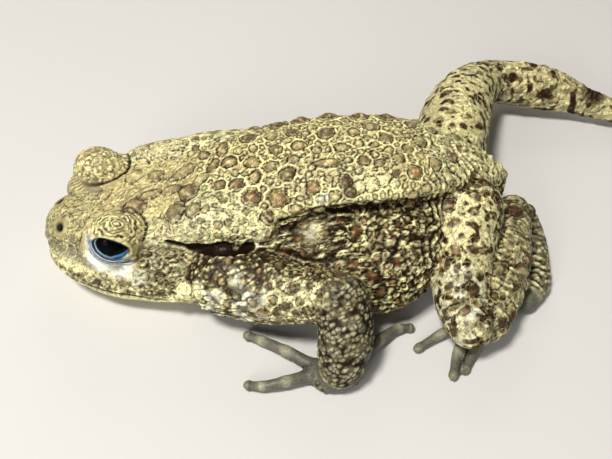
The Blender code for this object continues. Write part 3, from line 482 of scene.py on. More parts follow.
# Each region of the skin: its name, the region or limb that it is part of, and its limits. A limit is a
# measure and the two values between which the region fades in, or another mask. x and z are in mm.
# height is the share of the trunk's height, over_edge is how far that lies over the back's edge, and arm
# is the share of the way along the upper arm.
REGIONS = (
    ("trunk", "bare", ("x", -22.0, -17.0)),
    ("back", "trunk", ("over_edge", -0.06, 0.02)),
    ("shoulders", "back", ("x", 12.0, -8.0), ("x", -24.0, -16.0)),
    ("rump", "back", ("x", 30.0, 38.0)),
    ("flank", "trunk", ("height", 0.16, 0.30), ("over_edge", 0.0, -0.08), ("x", -14.0, -6.0)),
    ("flank_front", "flank", ("x", 22.0, 10.0)),
    ("flank_rear", "flank", ("x", 10.0, 20.0)),
    ("flank_upper", "flank_rear", ("height", 0.58, 0.64)),
    ("flank_lower", "flank_rear", ("height", 0.64, 0.58)),
    ("head_top", "bare", ("x", -17.0, -22.0), ("height", 0.72, 0.82), "away"),
    ("snout", "bare", ("x", -40.0, -46.0), ("height", 0.50, 0.65), "away"),
    ("side_of_head", "bare", ("x", -19.0, -23.0), ("height", 0.84, 0.74), "away", "off_jaw"),
    ("cheek", "side_of_head", ("x", -36.0, -32.5), ("height", 0.26, 0.34)),
    ("face", "bare", ("x", -19.0, -23.0), ("height", 0.70, 0.58), "away", "off_jaw"),
    ("lip", "face", ("height", 0.50, 0.42), ("height", 0.24, 0.30)),
    ("gland", "parotoid", ("z", 15.0, 18.0)),
    ("gland_rear", "gland", ("x", -23.0, -17.0), ("z", 19.0, 22.0)),
    ("shoulder", "upper_arm", ("arm", 0.44, 0.30), "off_jaw"),
)
LEGS = ("thigh_left", "thigh_right", "shank_left", "shank_right")

# How pale each limb is.
PALE_LIMBS = (
    ("thigh_left", 0.60),
    ("thigh_right", 0.45),
    ("arm", 0.80),
    ("shoulder", 0.60),
    ("shank_left", 0.35),
    ("shank_right", 0.35),
)

# Whitish places: middle on the left side, reach and strength. The right side has the same.
WHITE_PLACES = (
    ((-42.4, -14.4, 16.9), 5.0, 1.0),
    ((-38.4, -15.8, 15.2), 4.6, 0.9),
    ((-34.0, -17.2, 12.8), 3.2, 0.6),
    ((-30.6, -15.9, 16.4), 3.4, 0.55),
    ((-7.4, -16.8, 20.9), 1.7, 1.0),
    ((8.0, -13.4, 30.6), 2.2, 0.7),
    ((5.0, -16.2, 22.8), 3.2, 0.45),
    ((-15.6, -21.0, 20.4), 4.6, 0.55),
)

# The stripe under the left gland: a painted shadow under the gland's overhanging lower edge, in dark
# reddish brown and near black.
SHADOW_STRIPE = (
    (-28.0, -15.2, 22.7),
    (-25.0, -15.3, 21.6),
    (-21.0, -15.7, 20.4),
    (-18.8, -16.1, 20.4),
    (-16.7, -17.2, 21.2),
    (-14.5, -18.1, 22.0),
    (-12.4, -18.4, 22.1),
    (-10.1, -17.9, 21.3),
    (-8.4, -17.0, 20.6),
)
SHADOW_STRIPE_REACH = 1.05
SHADOW_STRIPE_DEPTH = 0.75
GROOVE_DEPTH = 0.9

# Single places: dark ones of the shanks, a grey one of the snout, and a smooth and a greyish one of
# the side.
SHANK_BAND = (100.0, 36.5, 9.5)
SHANK_BLOTCH = (57.6, -10.0, 14.4)
SMUDGE = (-43.4, 4.1, 21.1)
SMOOTH_PLACE = (18.5, -12.4, 33.1)
SMOOTH_REACH = 6.0
GREY_PLACE = (5.0, -16.2, 22.8)
GREY_REACH = 4.5

# How the patterns of the skin are drawn.
FAINT = 0.01
PEBBLE_REACH = 0.75
PEBBLE_SLOPE = 0.22
PEBBLE_WARP = 0.25
TONE_MIX = (1.31, 2.17, 1.73)
TONE_SPREAD = 97.0
VEIN_WIDTH = 0.085
TRIES = 30
SIZE_SKEW = 1.2
TONE_VARIES = 0.25
ROUND_POWER = 1.2
POINTED_POWER = 1.1
WOBBLE = 0.28
NET_REACH = 1.5
NET_WIDTH = 0.60
RING_PLACE = 0.12
RING_WIDTH = 0.20
RING_DEPTH = 0.10
LID_RINGS = 6.4
LID_RING_RISE = 0.18
RING_SHIFT = (1.1, -1.0)
ARC_PITCH = 17.0
RIM_LINES = 6.5
LID_THICKNESS = 0.7
NET_RISE = 0.13
BROAD_RISE = 0.28
EDGE_REFLECTION_WIDTH = 7.2
EDGE_REFLECTION_WIDER = 12.0
# Near black: painted shade in the nostrils, the mouth's slit, the gaps round the eyeballs and the
# stripes under the glands, and a faint darkening of the digits.
HOLE_COLOUR = (0.003, 0.002, 0.002)
PUPIL_COLOUR = (0.002, 0.002, 0.003)

# How the finished skin's crests and hollows are found: share of each step towards the middle of a
# point's neighbours, and how many steps for fine and for broad ones.
RELIEF_WEIGHT = 0.8
RELIEF_FINE = 3
RELIEF_BROAD = 16

# How strongly the painted highlight on crests and the painted shade in hollows show in each region.
RUGGED = (
    ("back", 0.85, 1.0),
    ("head_top", 0.66, 0.70),
    ("snout", 0.42, 0.75),
    ("face", 0.85, 1.0),
    ("cheek", 0.90, 1.0),
    ("jaw_gland", 0.80, 1.0),
    ("gland", 0.72, 1.0),
    ("right_lid", 0.90, 1.0),
    ("left_lid", 0.80, 0.75),
    ("flank", 1.0, 1.0),
    ("low", 0.8, 1.0),
    ("shoulder", 0.80, 1.0),
    ("arm", 0.90, 1.0),
    ("forearm", 0.26, 1.0),
    ("tarsus", 0.5, 1.0),
    ("thigh_left", 0.8, 1.0),
    ("thigh_right", 0.7, 1.0),
    ("shank_left", 0.85, 1.0),
    ("shank_right", 0.85, 1.0),
    ("digits", 0.25, 0.8),
)

# Where flesh runs smoothly from one part into the next: middle and reach.
SOFT_SPOTS = (
    ((-12.0, -19.0, 15.0), 11.0),
    ((-12.0, 17.0, 14.0), 11.0),
    ((10.0, -32.0, 17.0), 7.5),
    ((9.4, 24.8, 11.0), 7.0),
    ((8.0, -41.0, 4.5), 7.0),
    ((-1.5, 31.5, 4.5), 7.0),
    ((45.0, -10.0, 20.0), 12.0),
    ((46.0, 11.0, 20.0), 13.0),
    ((39.5, -37.0, 9.0), 6.0),
    ((69.5, 44.4, 11.0), 8.0),
    ((62.5, -4.0, 7.5), 7.0),
    ((111.5, 32.0, 5.0), 6.0),
    ((57.0, -28.0, 3.0), 6.0),
    ((124.0, 47.6, 3.0), 6.0),
    ((-19.0, -12.0, 25.0), 14.0),
    ((-19.0, 12.0, 25.0), 14.0),
    ((-39.0, -10.0, 19.0), 12.0),
    ((-40.4, 10.0, 19.0), 12.0),
)

# Lights: name, place, size, power and colour. Places and sizes are in metres.
LIGHTS = (
    ("key_light", (-0.30, -0.18, 0.70), 0.12, 7.2, (1.0, 0.965, 0.90)),
    ("front_light", (-0.50, -0.60, 0.34), 0.3, 2.7, (1.0, 0.975, 0.94)),
    ("back_light", (0.10, 0.65, 0.5), 0.4, 1.2, (1.0, 0.96, 0.88)),
)
SKY_COLOUR = (1.0, 0.98, 0.94)
SKY_STRENGTH = 0.15
FLOOR_SIZE = 3.0


def spline(rows, t):
    """The rows blended at t, counted in rows, by a Catmull-Rom curve through them."""
    last = len(rows) - 1
    i = min(int(t), last - 1)
    u = t - i
    a, b, c, d = (rows[min(max(i + k, 0), last)] for k in (-1, 0, 1, 2))
    return tuple(
        0.5 * (2 * q + (r - p) * u + (2 * p - 5 * q + 4 * r - s) * u**2 + (3 * q - p - 3 * r + s) * u**3)
        for p, q, r, s in zip(a, b, c, d)
    )


def step(low, high, value):
    """0 below low and 1 above high, smooth between them. It falls where high is the smaller."""
    t = np.clip((value - low) / (high - low), 0.0, 1.0)
    return t * t * (3.0 - 2.0 * t)


def hump(value, middle, width):
    """1 where the value is at its middle, fading away from it."""
    return np.exp(-(((value - middle) / width) ** 2))


def strongest(*masks):
    """The greatest of these masks at each point."""
    return reduce(np.maximum, masks)


def strengthen(masks, name, values):
    """Raises one of the masks to these values where they are greater."""
    masks[name] = np.maximum(masks[name], values)


def on_side(place, side):
    """A place given for the left side, on the side asked for."""
    x, y, z = place
    return x, -side * y, z


def eye_place(side, offset=(0.0, 0.0, 0.0)):
    """A point near the eye on the given side, at an offset from its centre as seen on the left side."""
    x, y, z = (c + o for c, o in zip(EYE_CENTRE, offset))
    return (x, y, z) if side < 0 else (x - RIGHT_FORWARD, -y, z)


def eye_axes():
    """The way out of the left eye, and the ways along and up across it."""
    out = Vector(EYE_AXIS).normalized()
    along = (Vector((1.0, 0.0, 0.0)) - out * out.x).normalized()
    turn = Quaternion(out, math.radians(OPENING_TURN))
    return out, turn @ along, turn @ out.cross(along)


def opening_spread(cos_angle, sin_angle):
    """How many degrees the edge of the eye opening lies from its axis, at an angle round it."""
    tall = np.where(sin_angle > 0, OPENING_ABOVE, OPENING_BELOW)
    return 1.0 / np.hypot(cos_angle / OPENING_SIDES, sin_angle / tall)


def opening_way(angle, inset=0.0):
    """The way from the left eye's centre to its opening's edge, at an angle round it."""
    out, along, up = eye_axes()
    spread = math.radians(float(opening_spread(math.cos(angle), math.sin(angle))) - inset)
    return out * math.cos(spread) + (along * math.cos(angle) + up * math.sin(angle)) * math.sin(spread)


# Meshes


def linked(name, data):
    """A new object in the scene for this mesh, light or camera."""
    obj = bpy.data.objects.new(name, data)
    bpy.context.scene.collection.objects.link(obj)
    return obj


def add_object(name, bm, closed=True):
    """A mesh object, in millimetres until the toad is put in its place."""
    if closed:
        bmesh.ops.recalc_face_normals(bm, faces=bm.faces)
    mesh = bpy.data.meshes.new(name)
    bm.to_mesh(mesh)
    bm.free()
    return linked(name, mesh)


def loft(name, rings):
    """One closed skin over rings of equal length, with a pole at each end."""
    bm = bmesh.new()
    loops = [[bm.verts.new(p) for p in ring] for ring in rings]
    count = len(loops[0])
    for first, second in zip(loops, loops[1:]):
        for i in range(count):
            j = (i + 1) % count
            bm.faces.new((first[i], first[j], second[j], second[i]))
    for ring, loop in ((rings[0], loops[0]), (rings[-1], loops[-1])):
        pole = bm.verts.new(sum((Vector(p) for p in ring), Vector()) / count)
        for i in range(count):
            bm.faces.new((loop[i], loop[(i + 1) % count], pole))
    return add_object(name, bm)


def body_ring(section):
    """One cross-section: flat belly, low bulging flank, sunken band under the back's edge, and back."""
    x, half, under, back, wide, edge, edge_height, sink, aside = section
    tall = back - under
    side = (
        (0.0, 0.0),
        (0.52, 0.0),
        (0.86, wide * 0.36),
        (1.0, wide),
        (0.5 * (1.0 + edge) + 0.06, 0.5 * (wide + edge_height) - 0.02),
        (edge + 0.04 - sink, edge_height - 0.13),
        (edge, edge_height),
        (edge * 0.52, 0.985),
        (0.0, 1.0),
    )
    outline = [(y * half, under + z * tall) for y, z in side]
    outline += [(-y, z) for y, z in reversed(outline[1:-1])]
    closed = outline[-1:] + outline + outline[:2]
    ring = []
    for k in range(BODY_POINTS):
        y, z = spline(closed, 1 + k * len(outline) / BODY_POINTS)
        ring.append((x, y + aside, z))
    return ring


def make_body():
    """The trunk and head, lofted through their cross-sections."""
    rings = (len(BODY_SECTIONS) - 1) * BODY_RINGS + 1
    return loft("body", [body_ring(spline(BODY_SECTIONS, k / BODY_RINGS)) for k in range(rings)])


def dome(centre, heading, radius, way):
    """The sections that close a tube's end, from its last full one outwards."""
    made = []
    for angle in DOME_ANGLES:
        out, across = math.sin(math.radians(angle)), math.cos(math.radians(angle))
        made.append((centre + heading * radius * out * way, heading, radius * across))
    return made


def tube(name, rows, sides=28, per_span=6):
    """A limb or digit: a skin of round sections along a smooth line, with domed ends."""
    flat_rows = [(*point, radius) for point, radius in rows]
    samples = [spline(flat_rows, k / per_span) for k in range((len(rows) - 1) * per_span + 1)]
    centres = [Vector(s[:3]) for s in samples]
    radii = [s[3] for s in samples]
    headings = [
        (centres[min(k + 1, len(centres) - 1)] - centres[max(k - 1, 0)]).normalized()
        for k in range(len(centres))
    ]
    stations = dome(centres[0], headings[0], radii[0], -1.0)[::-1]
    stations += zip(centres, headings, radii)
    stations += dome(centres[-1], headings[-1], radii[-1], 1.0)
    side = headings[0].cross(Vector((0.0, 0.0, 1.0))).normalized()
    rings = []
    for centre, heading, radius in stations:
        side = (side - heading * side.dot(heading)).normalized()
        up = side.cross(heading)
        turns = (2 * math.pi * k / sides for k in range(sides))
        rings.append([centre + (side * math.cos(a) + up * math.sin(a)) * radius for a in turns])
    return loft(name, rings)


def ellipsoid(name, centre, radii, across=40, around=24):
    bm = bmesh.new()
    bmesh.ops.create_uvsphere(bm, u_segments=across, v_segments=around, radius=1.0)
    for vert in bm.verts:
        vert.co = Vector(c + v * r for c, v, r in zip(centre, vert.co, radii))
    return add_object(name, bm)


def hand_place(point, side):
    """A point of the left hand's plan, or the same point of the right hand."""
    if side < 0:
        return point
    turn = math.radians(RIGHT_HAND_TURN)
    x, y, z = point
    dx, dy = x - PALM_CENTRE[0], -(y - PALM_CENTRE[1])
    return (
        PALM_CENTRE[0] + RIGHT_HAND_SHIFT[0] + dx * math.cos(turn) - dy * math.sin(turn),
        -PALM_CENTRE[1] + RIGHT_HAND_SHIFT[1] + dx * math.sin(turn) + dy * math.cos(turn),
        z,
    )


def finger_rows(side):
    """Each finger of a hand as a centre line with radii."""
    x, y, z = PALM_CENTRE
    wrist = (x, y + WRIST_IN, z)
    return [
        tuple(zip([hand_place(p, side) for p in (wrist, *joints)], FINGER_RADII)) for joints in FINGERS
    ]


def toe_point(base, toe, share):
    """Where the toe has come to after this share of its length, as x and y."""
    heading, length, curl = toe
    place = Vector((base[0], base[1]))
    for k in range(TOE_STEPS):
        way = math.radians(heading + curl * (share * (k + 0.5) / TOE_STEPS) ** 2)
        place += Vector((math.cos(way), math.sin(way))) * (length * share / TOE_STEPS)
    return place


def toe_rows(tarsus, toes):
    """Each toe of a foot as a centre line with radii."""
    base = tarsus[-1][0]
    made = []
    for toe in toes:
        line = [base]
        for share, height in zip(TOE_SHARES, TOE_HEIGHTS):
            line.append((*toe_point(base, toe, share), height))
        made.append(tuple(zip(line, TOE_RADII)))
    return made


def web(name, base, tips):
    """A thin skin between the toes, with its free edge drawn in between each two."""
    edge = [tips[0]]
    for first, second in zip(tips, tips[1:]):
        middle = (first + second) / 2
        edge += [middle + (base - middle) * WEB_DRAWN_IN, second]
    bm = bmesh.new()
    fans = []
    for height in WEB_HEIGHTS:
        hub = bm.verts.new((*base, height))
        rim = [bm.verts.new((*p, height)) for p in edge]
        for first, second in zip(rim, rim[1:]):
            bm.faces.new((hub, first, second))
        fans.append([hub, *rim])
    for k in range(len(fans[0])):
        j = (k + 1) % len(fans[0])
        bm.faces.new((fans[0][k], fans[1][k], fans[1][j], fans[0][j]))
    return add_object(name, bm)


def all_limbs():
    """Each limb group as its centre lines: what a point of the skin may belong to."""
    return {
        "upper_arm": [UPPER_ARM, RIGHT_UPPER_ARM],
        "forearm": [FOREARM, RIGHT_FOREARM],
        "thigh_left": [LEFT_THIGH],
        "thigh_right": [RIGHT_THIGH],
        "shank_left": [LEFT_SHANK],
        "shank_right": [RIGHT_SHANK],
        "tarsus": [LEFT_TARSUS, RIGHT_TARSUS],
        "fingers": finger_rows(-1.0) + finger_rows(1.0),
        "toes": toe_rows(LEFT_TARSUS, LEFT_TOES) + toe_rows(RIGHT_TARSUS, RIGHT_TOES),
        "parotoid": [PAROTOID, RIGHT_PAROTOID],
    }


def join(name, objects):
    """One object that holds the meshes of all of them, still overlapping."""
    bm = bmesh.new()
    for obj in objects:
        bm.from_mesh(obj.data)
        bpy.data.objects.remove(obj)
    return add_object(name, bm, closed=False)


def apply_modifiers(obj):
    evaluated = obj.evaluated_get(bpy.context.evaluated_depsgraph_get())
    mesh = bpy.data.meshes.new_from_object(evaluated)
    obj.modifiers.clear()
    obj.data = mesh
    return obj


def remesh(obj, size):
    """Fuses what overlaps into one even skin of small squares."""
    modifier = obj.modifiers.new("even", "REMESH")
    modifier.mode = "VOXEL"
    modifier.voxel_size = size
    return apply_modifiers(obj)


def boolean(obj, other, operation):
    """Joins the other object to this one, or cuts it out of it."""
    modifier = obj.modifiers.new("with_other", "BOOLEAN")
    modifier.operation = operation
    modifier.object = other
    modifier.solver = "MANIFOLD"
    apply_modifiers(obj)
    bpy.data.objects.remove(other)


def points_of(mesh, kind="co"):
    """The mesh's points, or their normals where kind is "normal", one in each row."""
    found = np.empty(len(mesh.vertices) * 3)
    mesh.vertices.foreach_get(kind, found)
    return found.reshape(-1, 3)


def set_points(mesh, points):
    mesh.vertices.foreach_set("co", points.ravel())
    mesh.update()


def paint(mesh, masks):
    """Stores the masks on the mesh, where its material reads them."""
    for name, values in masks.items():
        layer = mesh.attributes.new(name, "FLOAT", "POINT")
        layer.data.foreach_set("value", values.astype(np.float32))


def evened(mesh, points, weight, rounds):
    """The points after each has moved towards its neighbours' middle, by its weight, so many times."""
    ends = np.empty(len(mesh.edges) * 2, np.int32)
    mesh.edges.foreach_get("vertices", ends)
    first, second = ends.reshape(-1, 2).T
    count = len(points)
    near = np.bincount(ends, minlength=count).astype(float)[:, None]
    weight = np.broadcast_to(weight, count)[:, None]
    points = points.copy()
    for _ in range(rounds):
        total = [
            np.bincount(first, points[second, k], count) + np.bincount(second, points[first, k], count)
            for k in range(3)
        ]
        points += (np.stack(total, axis=1) / near - points) * weight
    return points


def relief(mesh):
    """How far each point stands out from the skin round it, in mm, over a fine and a broad reach."""
    points, normals = points_of(mesh), points_of(mesh, "normal")
    fine = evened(mesh, points, RELIEF_WEIGHT, RELIEF_FINE)
    broad = evened(mesh, fine, RELIEF_WEIGHT, RELIEF_BROAD)
    return ((points - fine) * normals).sum(1), ((points - broad) * normals).sum(1)


# Fields over the skin's points


def far_from(points, place, radii=(1.0, 1.0, 1.0)):
    """How far each point lies from a place, counted in these radii along x, y and z."""
    return np.linalg.norm((points - np.array(place)) / np.array(radii), axis=1)


def near_to(points, place, reach):
    """1 at a place, fading to 0 at a reach from it."""
    return step(reach, reach * 0.3, far_from(points, place))


def near_line(points, line, reach, thick):
    """1 within a reach of a line through these places, fading to 0 well outside it, where thick
    says by how much the reach grows at each point."""
    best = np.full(len(points), FAR)
    for start, stop in zip(line, line[1:]):
        start, way = np.array(start), np.array(stop) - np.array(start)
        t = np.clip((points - start) @ way / (way @ way), 0.0, 1.0)
        best = np.minimum(best, np.linalg.norm(points - start - t[:, None] * way, axis=1))
    return step(reach * 1.7, reach * 0.9, best / thick)


def limb_field(points, lines):
    """For each point, how far it lies from the surface of the nearest of these limbs, and its share of
    the way along that limb."""
    nearest = np.full(len(points), FAR)
    along = np.zeros(len(points))
    for rows in lines:
        flat_rows = [(*point, radius) for point, radius in rows]
        total = (len(rows) - 1) * LIMB_SPANS
        samples = np.array([spline(flat_rows, k / LIMB_SPANS) for k in range(total + 1)])
        reach = samples[:, 3].max() + LIMB_MARGIN
        low, high = samples[:, :3].min(0) - reach, samples[:, :3].max(0) + reach
        inside = np.flatnonzero(((points > low) & (points < high)).all(1))
        near = points[inside]
        best, share = np.full(len(near), FAR), np.zeros(len(near))
        for k in range(total):
            start, stop = samples[k], samples[k + 1]
            way = stop[:3] - start[:3]
            t = np.clip((near - start[:3]) @ way / max(way @ way, TINY), 0.0, 1.0)
            gap = np.linalg.norm(near - start[:3] - t[:, None] * way, axis=1)
            gap -= start[3] + t * (stop[3] - start[3])
            closer = gap < best
            best[closer] = gap[closer]
            share[closer] = (k + t[closer]) / total
        closer = best < nearest[inside]
        nearest[inside[closer]] = best[closer]
        along[inside[closer]] = share[closer]
    return nearest, along


def scaled_points(points, size, shift, where):
    """The points that lie where a pattern is wanted, by number, and their places in its own scale."""
    ids = np.arange(len(points)) if where is None else np.flatnonzero(where > FAINT)
    return ids, (points[ids] / np.array(size) + shift).tolist()


def lumps(points, size, shift=0.0, where=None):
    """Smooth noise from -1 to 1, and 0 outside where. size is how large its lumps are, in mm, one number
    or one each along x, y and z."""
    made = np.zeros(len(points))
    ids, scaled = scaled_points(points, size, shift, where)
    made[ids] = [noise.noise(p) for p in scaled]
    return made


def pebbles(points, size, shift=0.0, where=None):
    """Rounded pebbles of skin: their height from 0 to 1, how deep the gaps between them are, and a tone
    from 0 to 1 for each pebble."""
    height, gap, tone = np.zeros(len(points)), np.zeros(len(points)), np.full(len(points), 0.5)
    ids, scaled = scaled_points(points, size, shift, where)
    found = [noise.voronoi(p) for p in scaled]
    reach = np.array([pair[:2] for pair, _ in found]).reshape(-1, 2)
    middles = np.array([middle[0][:] for _, middle in found]).reshape(-1, 3)
    near, between = reach[:, 0], reach[:, 1] - reach[:, 0]
    height[ids] = step(PEBBLE_REACH, 0.0, near) * (0.7 + 0.3 * step(0.0, 0.2, between))
    gap[ids] = np.maximum(step(0.34, 0.66, near), 0.5 * step(0.14, 0.0, between))
    tone[ids] = np.abs(np.sin(middles @ np.array(TONE_MIX)) * TONE_SPREAD) % 1.0
    return height, gap, tone


def veins(points, size, shift, where):
    """Fine wrinkles: 1 on thin winding lines, and 0 between them and outside where."""
    found = np.abs(lumps(points, size, shift, where))
    return np.where(where > FAINT, step(VEIN_WIDTH, 0.0, found), 0.0)


def body_place(points):
    """For each point, its height share in the trunk's cross-section there, and how far that lies over
    the height share of the back's edge."""
    rows = np.array(BODY_SECTIONS)
    under, back, edge = (np.interp(points[:, 0], rows[:, 0], rows[:, k]) for k in (2, 3, 6))
    height = (points[:, 2] - under) / (back - under)
    return height, height - edge


class Warts:
    """Warts scattered on the skin, none on another."""

    cell = 5.0

    def __init__(self, points, normals, seed):
        self.points = points
        self.normals = normals
        self.draw = np.random.default_rng(seed)
        self.grid = {}
        self.made = []
        self.tree = kdtree.KDTree(len(points))
        for i, place in enumerate(points.tolist()):
            self.tree.insert(place, i)
        self.tree.balance()

    def home(self, place):
        """The cell of the grid that a place lies in."""
        return tuple(int(v) for v in place // self.cell)

    def free(self, place, radius, apart):
        """Whether a wart fits here, with room round it as a share of both radii."""
        x, y, z = self.home(place)
        for dx, dy, dz in product((-1, 0, 1), repeat=3):
            for other, wide in self.grid.get((x + dx, y + dy, z + dz), ()):
                gap = place - other
                if gap @ gap < (apart * (radius + wide)) ** 2:
                    return False
        return True

    def put(self, i, radius, look, long=1.0, way=(1.0, 0.0, 0.0)):
        """A wart on point i. look holds its height share, darkness, redness, ring strength, how pointed
        it is, and how clearly its colour shows."""
        place = self.points[i]
        self.grid.setdefault(self.home(place), []).append((place, radius * (0.5 + 0.5 * long)))
        self.made.append((place, self.normals[i], radius, look, long, np.array(way)))

    def scatter(self, chance, count, radii, apart, stretch, look):
        """Up to count warts where chance is high."""
        total = chance.sum()
        if total <= 0:
            return
        picks = self.draw.choice(len(chance), size=count * TRIES, p=chance / total)
        sizes = self.draw.random(len(picks)) ** SIZE_SKEW
        longer = self.draw.random(len(picks))
        turns = self.draw.normal(0.0, 1.0, (len(picks), 3))
        tones = self.draw.normal(0.0, TONE_VARIES, len(picks))
        height, dark, red, ring, point, clear = look
        done = 0
        for i, size, more, turn, tone in zip(picks, sizes, longer, turns, tones):
            radius = radii[0] + (radii[1] - radii[0]) * size
            if not self.free(self.points[i], radius, apart):
                continue
            shade = float(np.clip(dark + tone, 0.0, 1.0))
            self.put(i, radius, (height, shade, red, ring, point, clear), 1.0 + stretch * more, turn)
            done += 1
            if done == count:
                break

    def raise_skin(self):
        """How far the warts lift each point, and the masks that colour them."""
        count = len(self.points)
        wobble = WOBBLE * lumps(self.points, 1.3, 21.0)
        broken = 0.2 + 0.8 * step(-0.3, 0.3, lumps(self.points, 1.7, 33.0))
        mottle = 0.65 + 0.35 * step(-0.45, 0.10, lumps(self.points, 0.9, 53.0))
        first, second = np.full(count, NET_REACH), np.full(count, NET_REACH)
        lift, cover, cap, ring, dark, red = (np.zeros(count) for _ in range(6))
        for place, normal, radius, look, long, way in self.made:
            height, shade, rust, ringed, point, clear = look
            way = way - normal * (way @ normal)
            way /= max(np.linalg.norm(way), TINY)
            found = self.tree.find_range(place.tolist(), radius * long + NET_REACH)
            ids = np.array([hit[1] for hit in found])
            off = self.points[ids] - place
            forth = off @ way
            aside = np.maximum((off * off).sum(1) - forth**2, 0.0)
            q = np.sqrt((forth / long) ** 2 + aside) / radius * (1.0 + wobble[ids])
            gap = (q - 1.0) * radius
            second[ids] = np.minimum(second[ids], np.maximum(first[ids], gap))
            first[ids] = np.minimum(first[ids], gap)
            dome_shape = np.clip(1.0 - q**2, 0.0, 1.0) ** ROUND_POWER
            cone_shape = np.clip(1.0 - q, 0.0, 1.0) ** POINTED_POWER
            shape = (1.0 - point) * dome_shape + point * cone_shape
            moat = hump(gap, RING_PLACE, RING_WIDTH)
            rise = radius * height * shape - RING_DEPTH * ringed * moat
            old = lift[ids]
            lift[ids] = np.where(rise > np.maximum(old, 0.0), rise, old + np.minimum(rise, 0.0))
            mask = clear * step(1.0, 0.8, q) * mottle[ids]
            stronger = mask > cover[ids]
            cover[ids] = np.maximum(cover[ids], mask)
            # cap lightens a wart's middle against its edge: partly the wart's own tone, partly painted
            # highlight and shade on its dome.
            cap[ids] = np.where(stronger, step(0.95, 0.25, q), cap[ids])
            dark[ids] = np.where(stronger, shade, dark[ids])
            red[ids] = np.where(stronger, rust, red[ids])
            # The dark ring in the moat round each wart: painted shade, partly the wart's own dark
            # outline.
            ring[ids] = np.maximum(ring[ids], ringed * moat * broken[ids])
        between = step(NET_WIDTH, NET_WIDTH * 0.3, second - first)
        net = between * step(0.12, 0.32, first) * step(NET_REACH * 0.9, NET_REACH * 0.6, first)
        net *= 0.25 + 0.75 * step(-0.35, 0.2, lumps(self.points, 2.3, 37.0))
        return {
            "lift": lift,
            "wart": cover,
            "cap": cap,
            "ring": ring,
            "wart_dark": dark,
            "wart_red": red,
            "net": net,
        }


def skin_parts(points):
    """How much each point belongs to each limb, from 0 to 1, and how far along it lies."""
    parts, any_limb = {}, np.zeros(len(points))
    for name, lines in all_limbs().items():
        gap, share = limb_field(points, lines)
        parts[name] = step(*LIMB_EDGE, gap)
        parts[name + "_share"] = share
        if name != "parotoid":
            any_limb = np.maximum(any_limb, parts[name])
    palms = (far_from(points, hand_place(PALM_CENTRE, side), PALM_RADII) for side in SIDES)
    palms = (step(1.35, 1.1, palm) for palm in palms)
    parts["digits"] = strongest(parts["fingers"], parts["toes"], *palms)
    for name in ("forearm", "tarsus", "shank_left", "upper_arm"):
        parts[name] = parts[name] * (1.0 - parts["digits"])
    parts["upper_arm"] = parts["upper_arm"] * (1.0 - parts["forearm"]) * (1.0 - parts["parotoid"])
    parts["limb_any"] = np.maximum(any_limb, parts["parotoid"])
    return parts


def regions(points, parts, height, over_edge):
    """Where each kind of skin lies: its share of each point, from 0 to 1."""
    x, z = points[:, 0], points[:, 2]
    away = np.ones(len(points))
    for side in SIDES:
        away *= step(6.4, 8.2, far_from(points, eye_place(side)))
        away *= step(2.0, 3.0, far_from(points, on_side(NOSTRIL, side)))
    jaw_gland = strongest(*(step(1.35, 1.15, far_from(points, *gland)) for gland in JAW_GLANDS))
    found = {"bare": 1.0 - parts["limb_any"], "away": away, "jaw_gland": jaw_gland}
    found["off_jaw"] = 1.0 - jaw_gland
    found.update((name, values) for name, values in parts.items() if not name.endswith("_share"))
    arm = parts["upper_arm_share"]
    measures = {"x": x, "z": z, "height": height, "over_edge": over_edge, "arm": arm}
    for name, base, *limits in REGIONS:
        share = found[base]
        for limit in limits:
            if isinstance(limit, str):
                share = share * found[limit]
            else:
                measure, low, high = limit
                share = share * step(low, high, measures[measure])
        found[name] = share
    for name, side in (("left_lid", -1.0), ("right_lid", 1.0)):
        pad = step(1.25, 1.05, far_from(points, eye_place(side, LID_OFFSET), LID_RADII))
        found[name] = pad * step(EYE_CENTRE[2] + 1.0, EYE_CENTRE[2] + 3.0, z)
    found["warty"] = found["back"] * (1.0 - 0.9 * step(30.0, 38.0, x))
    found["low"] = found["trunk"] * step(0.30, 0.20, height) * (1.0 - step(0.10, 0.02, height))
    found["arm"] = np.maximum(parts["upper_arm"] - found["shoulder"] - jaw_gland, 0.0)
    found["groove"], found["stripe"] = sunk_bands(points, found["trunk"], over_edge)
    found["legs"] = np.clip(sum(found[name] for name in LEGS), 0.0, 1.0)
    return found


def sunk_bands(points, trunk, over_edge):
    """The band under the back's edge and the stripe under each gland, both sunk and darkened with
    painted shade.
    """
    x = points[:, 0]
    off = over_edge + 0.012 * lumps(points, 5.0, 40.0)
    groove = step(0.03, -0.02, off) * step(-0.15, -0.10, off) * step(0.0, 6.0, x) * step(36.0, 27.0, x)
    lower = step(-0.05, -0.09, off) * step(-0.19, -0.14, off) * step(-6.0, 2.0, x) * step(14.0, 8.0, x)
    thick = 0.35 + 0.65 * step(-30.0, -20.0, x) * step(-5.0, -12.0, x)
    thick *= 1.0 + 0.45 * lumps(points, 2.4, 44.0) + 0.25 * lumps(points, 1.1, 46.0)
    lines = ([on_side(place, side) for place in SHADOW_STRIPE] for side in SIDES)
    stripe = strongest(*(near_line(points, line, SHADOW_STRIPE_REACH, thick) for line in lines))
    return np.maximum(groove, 0.25 * lower) * trunk, stripe


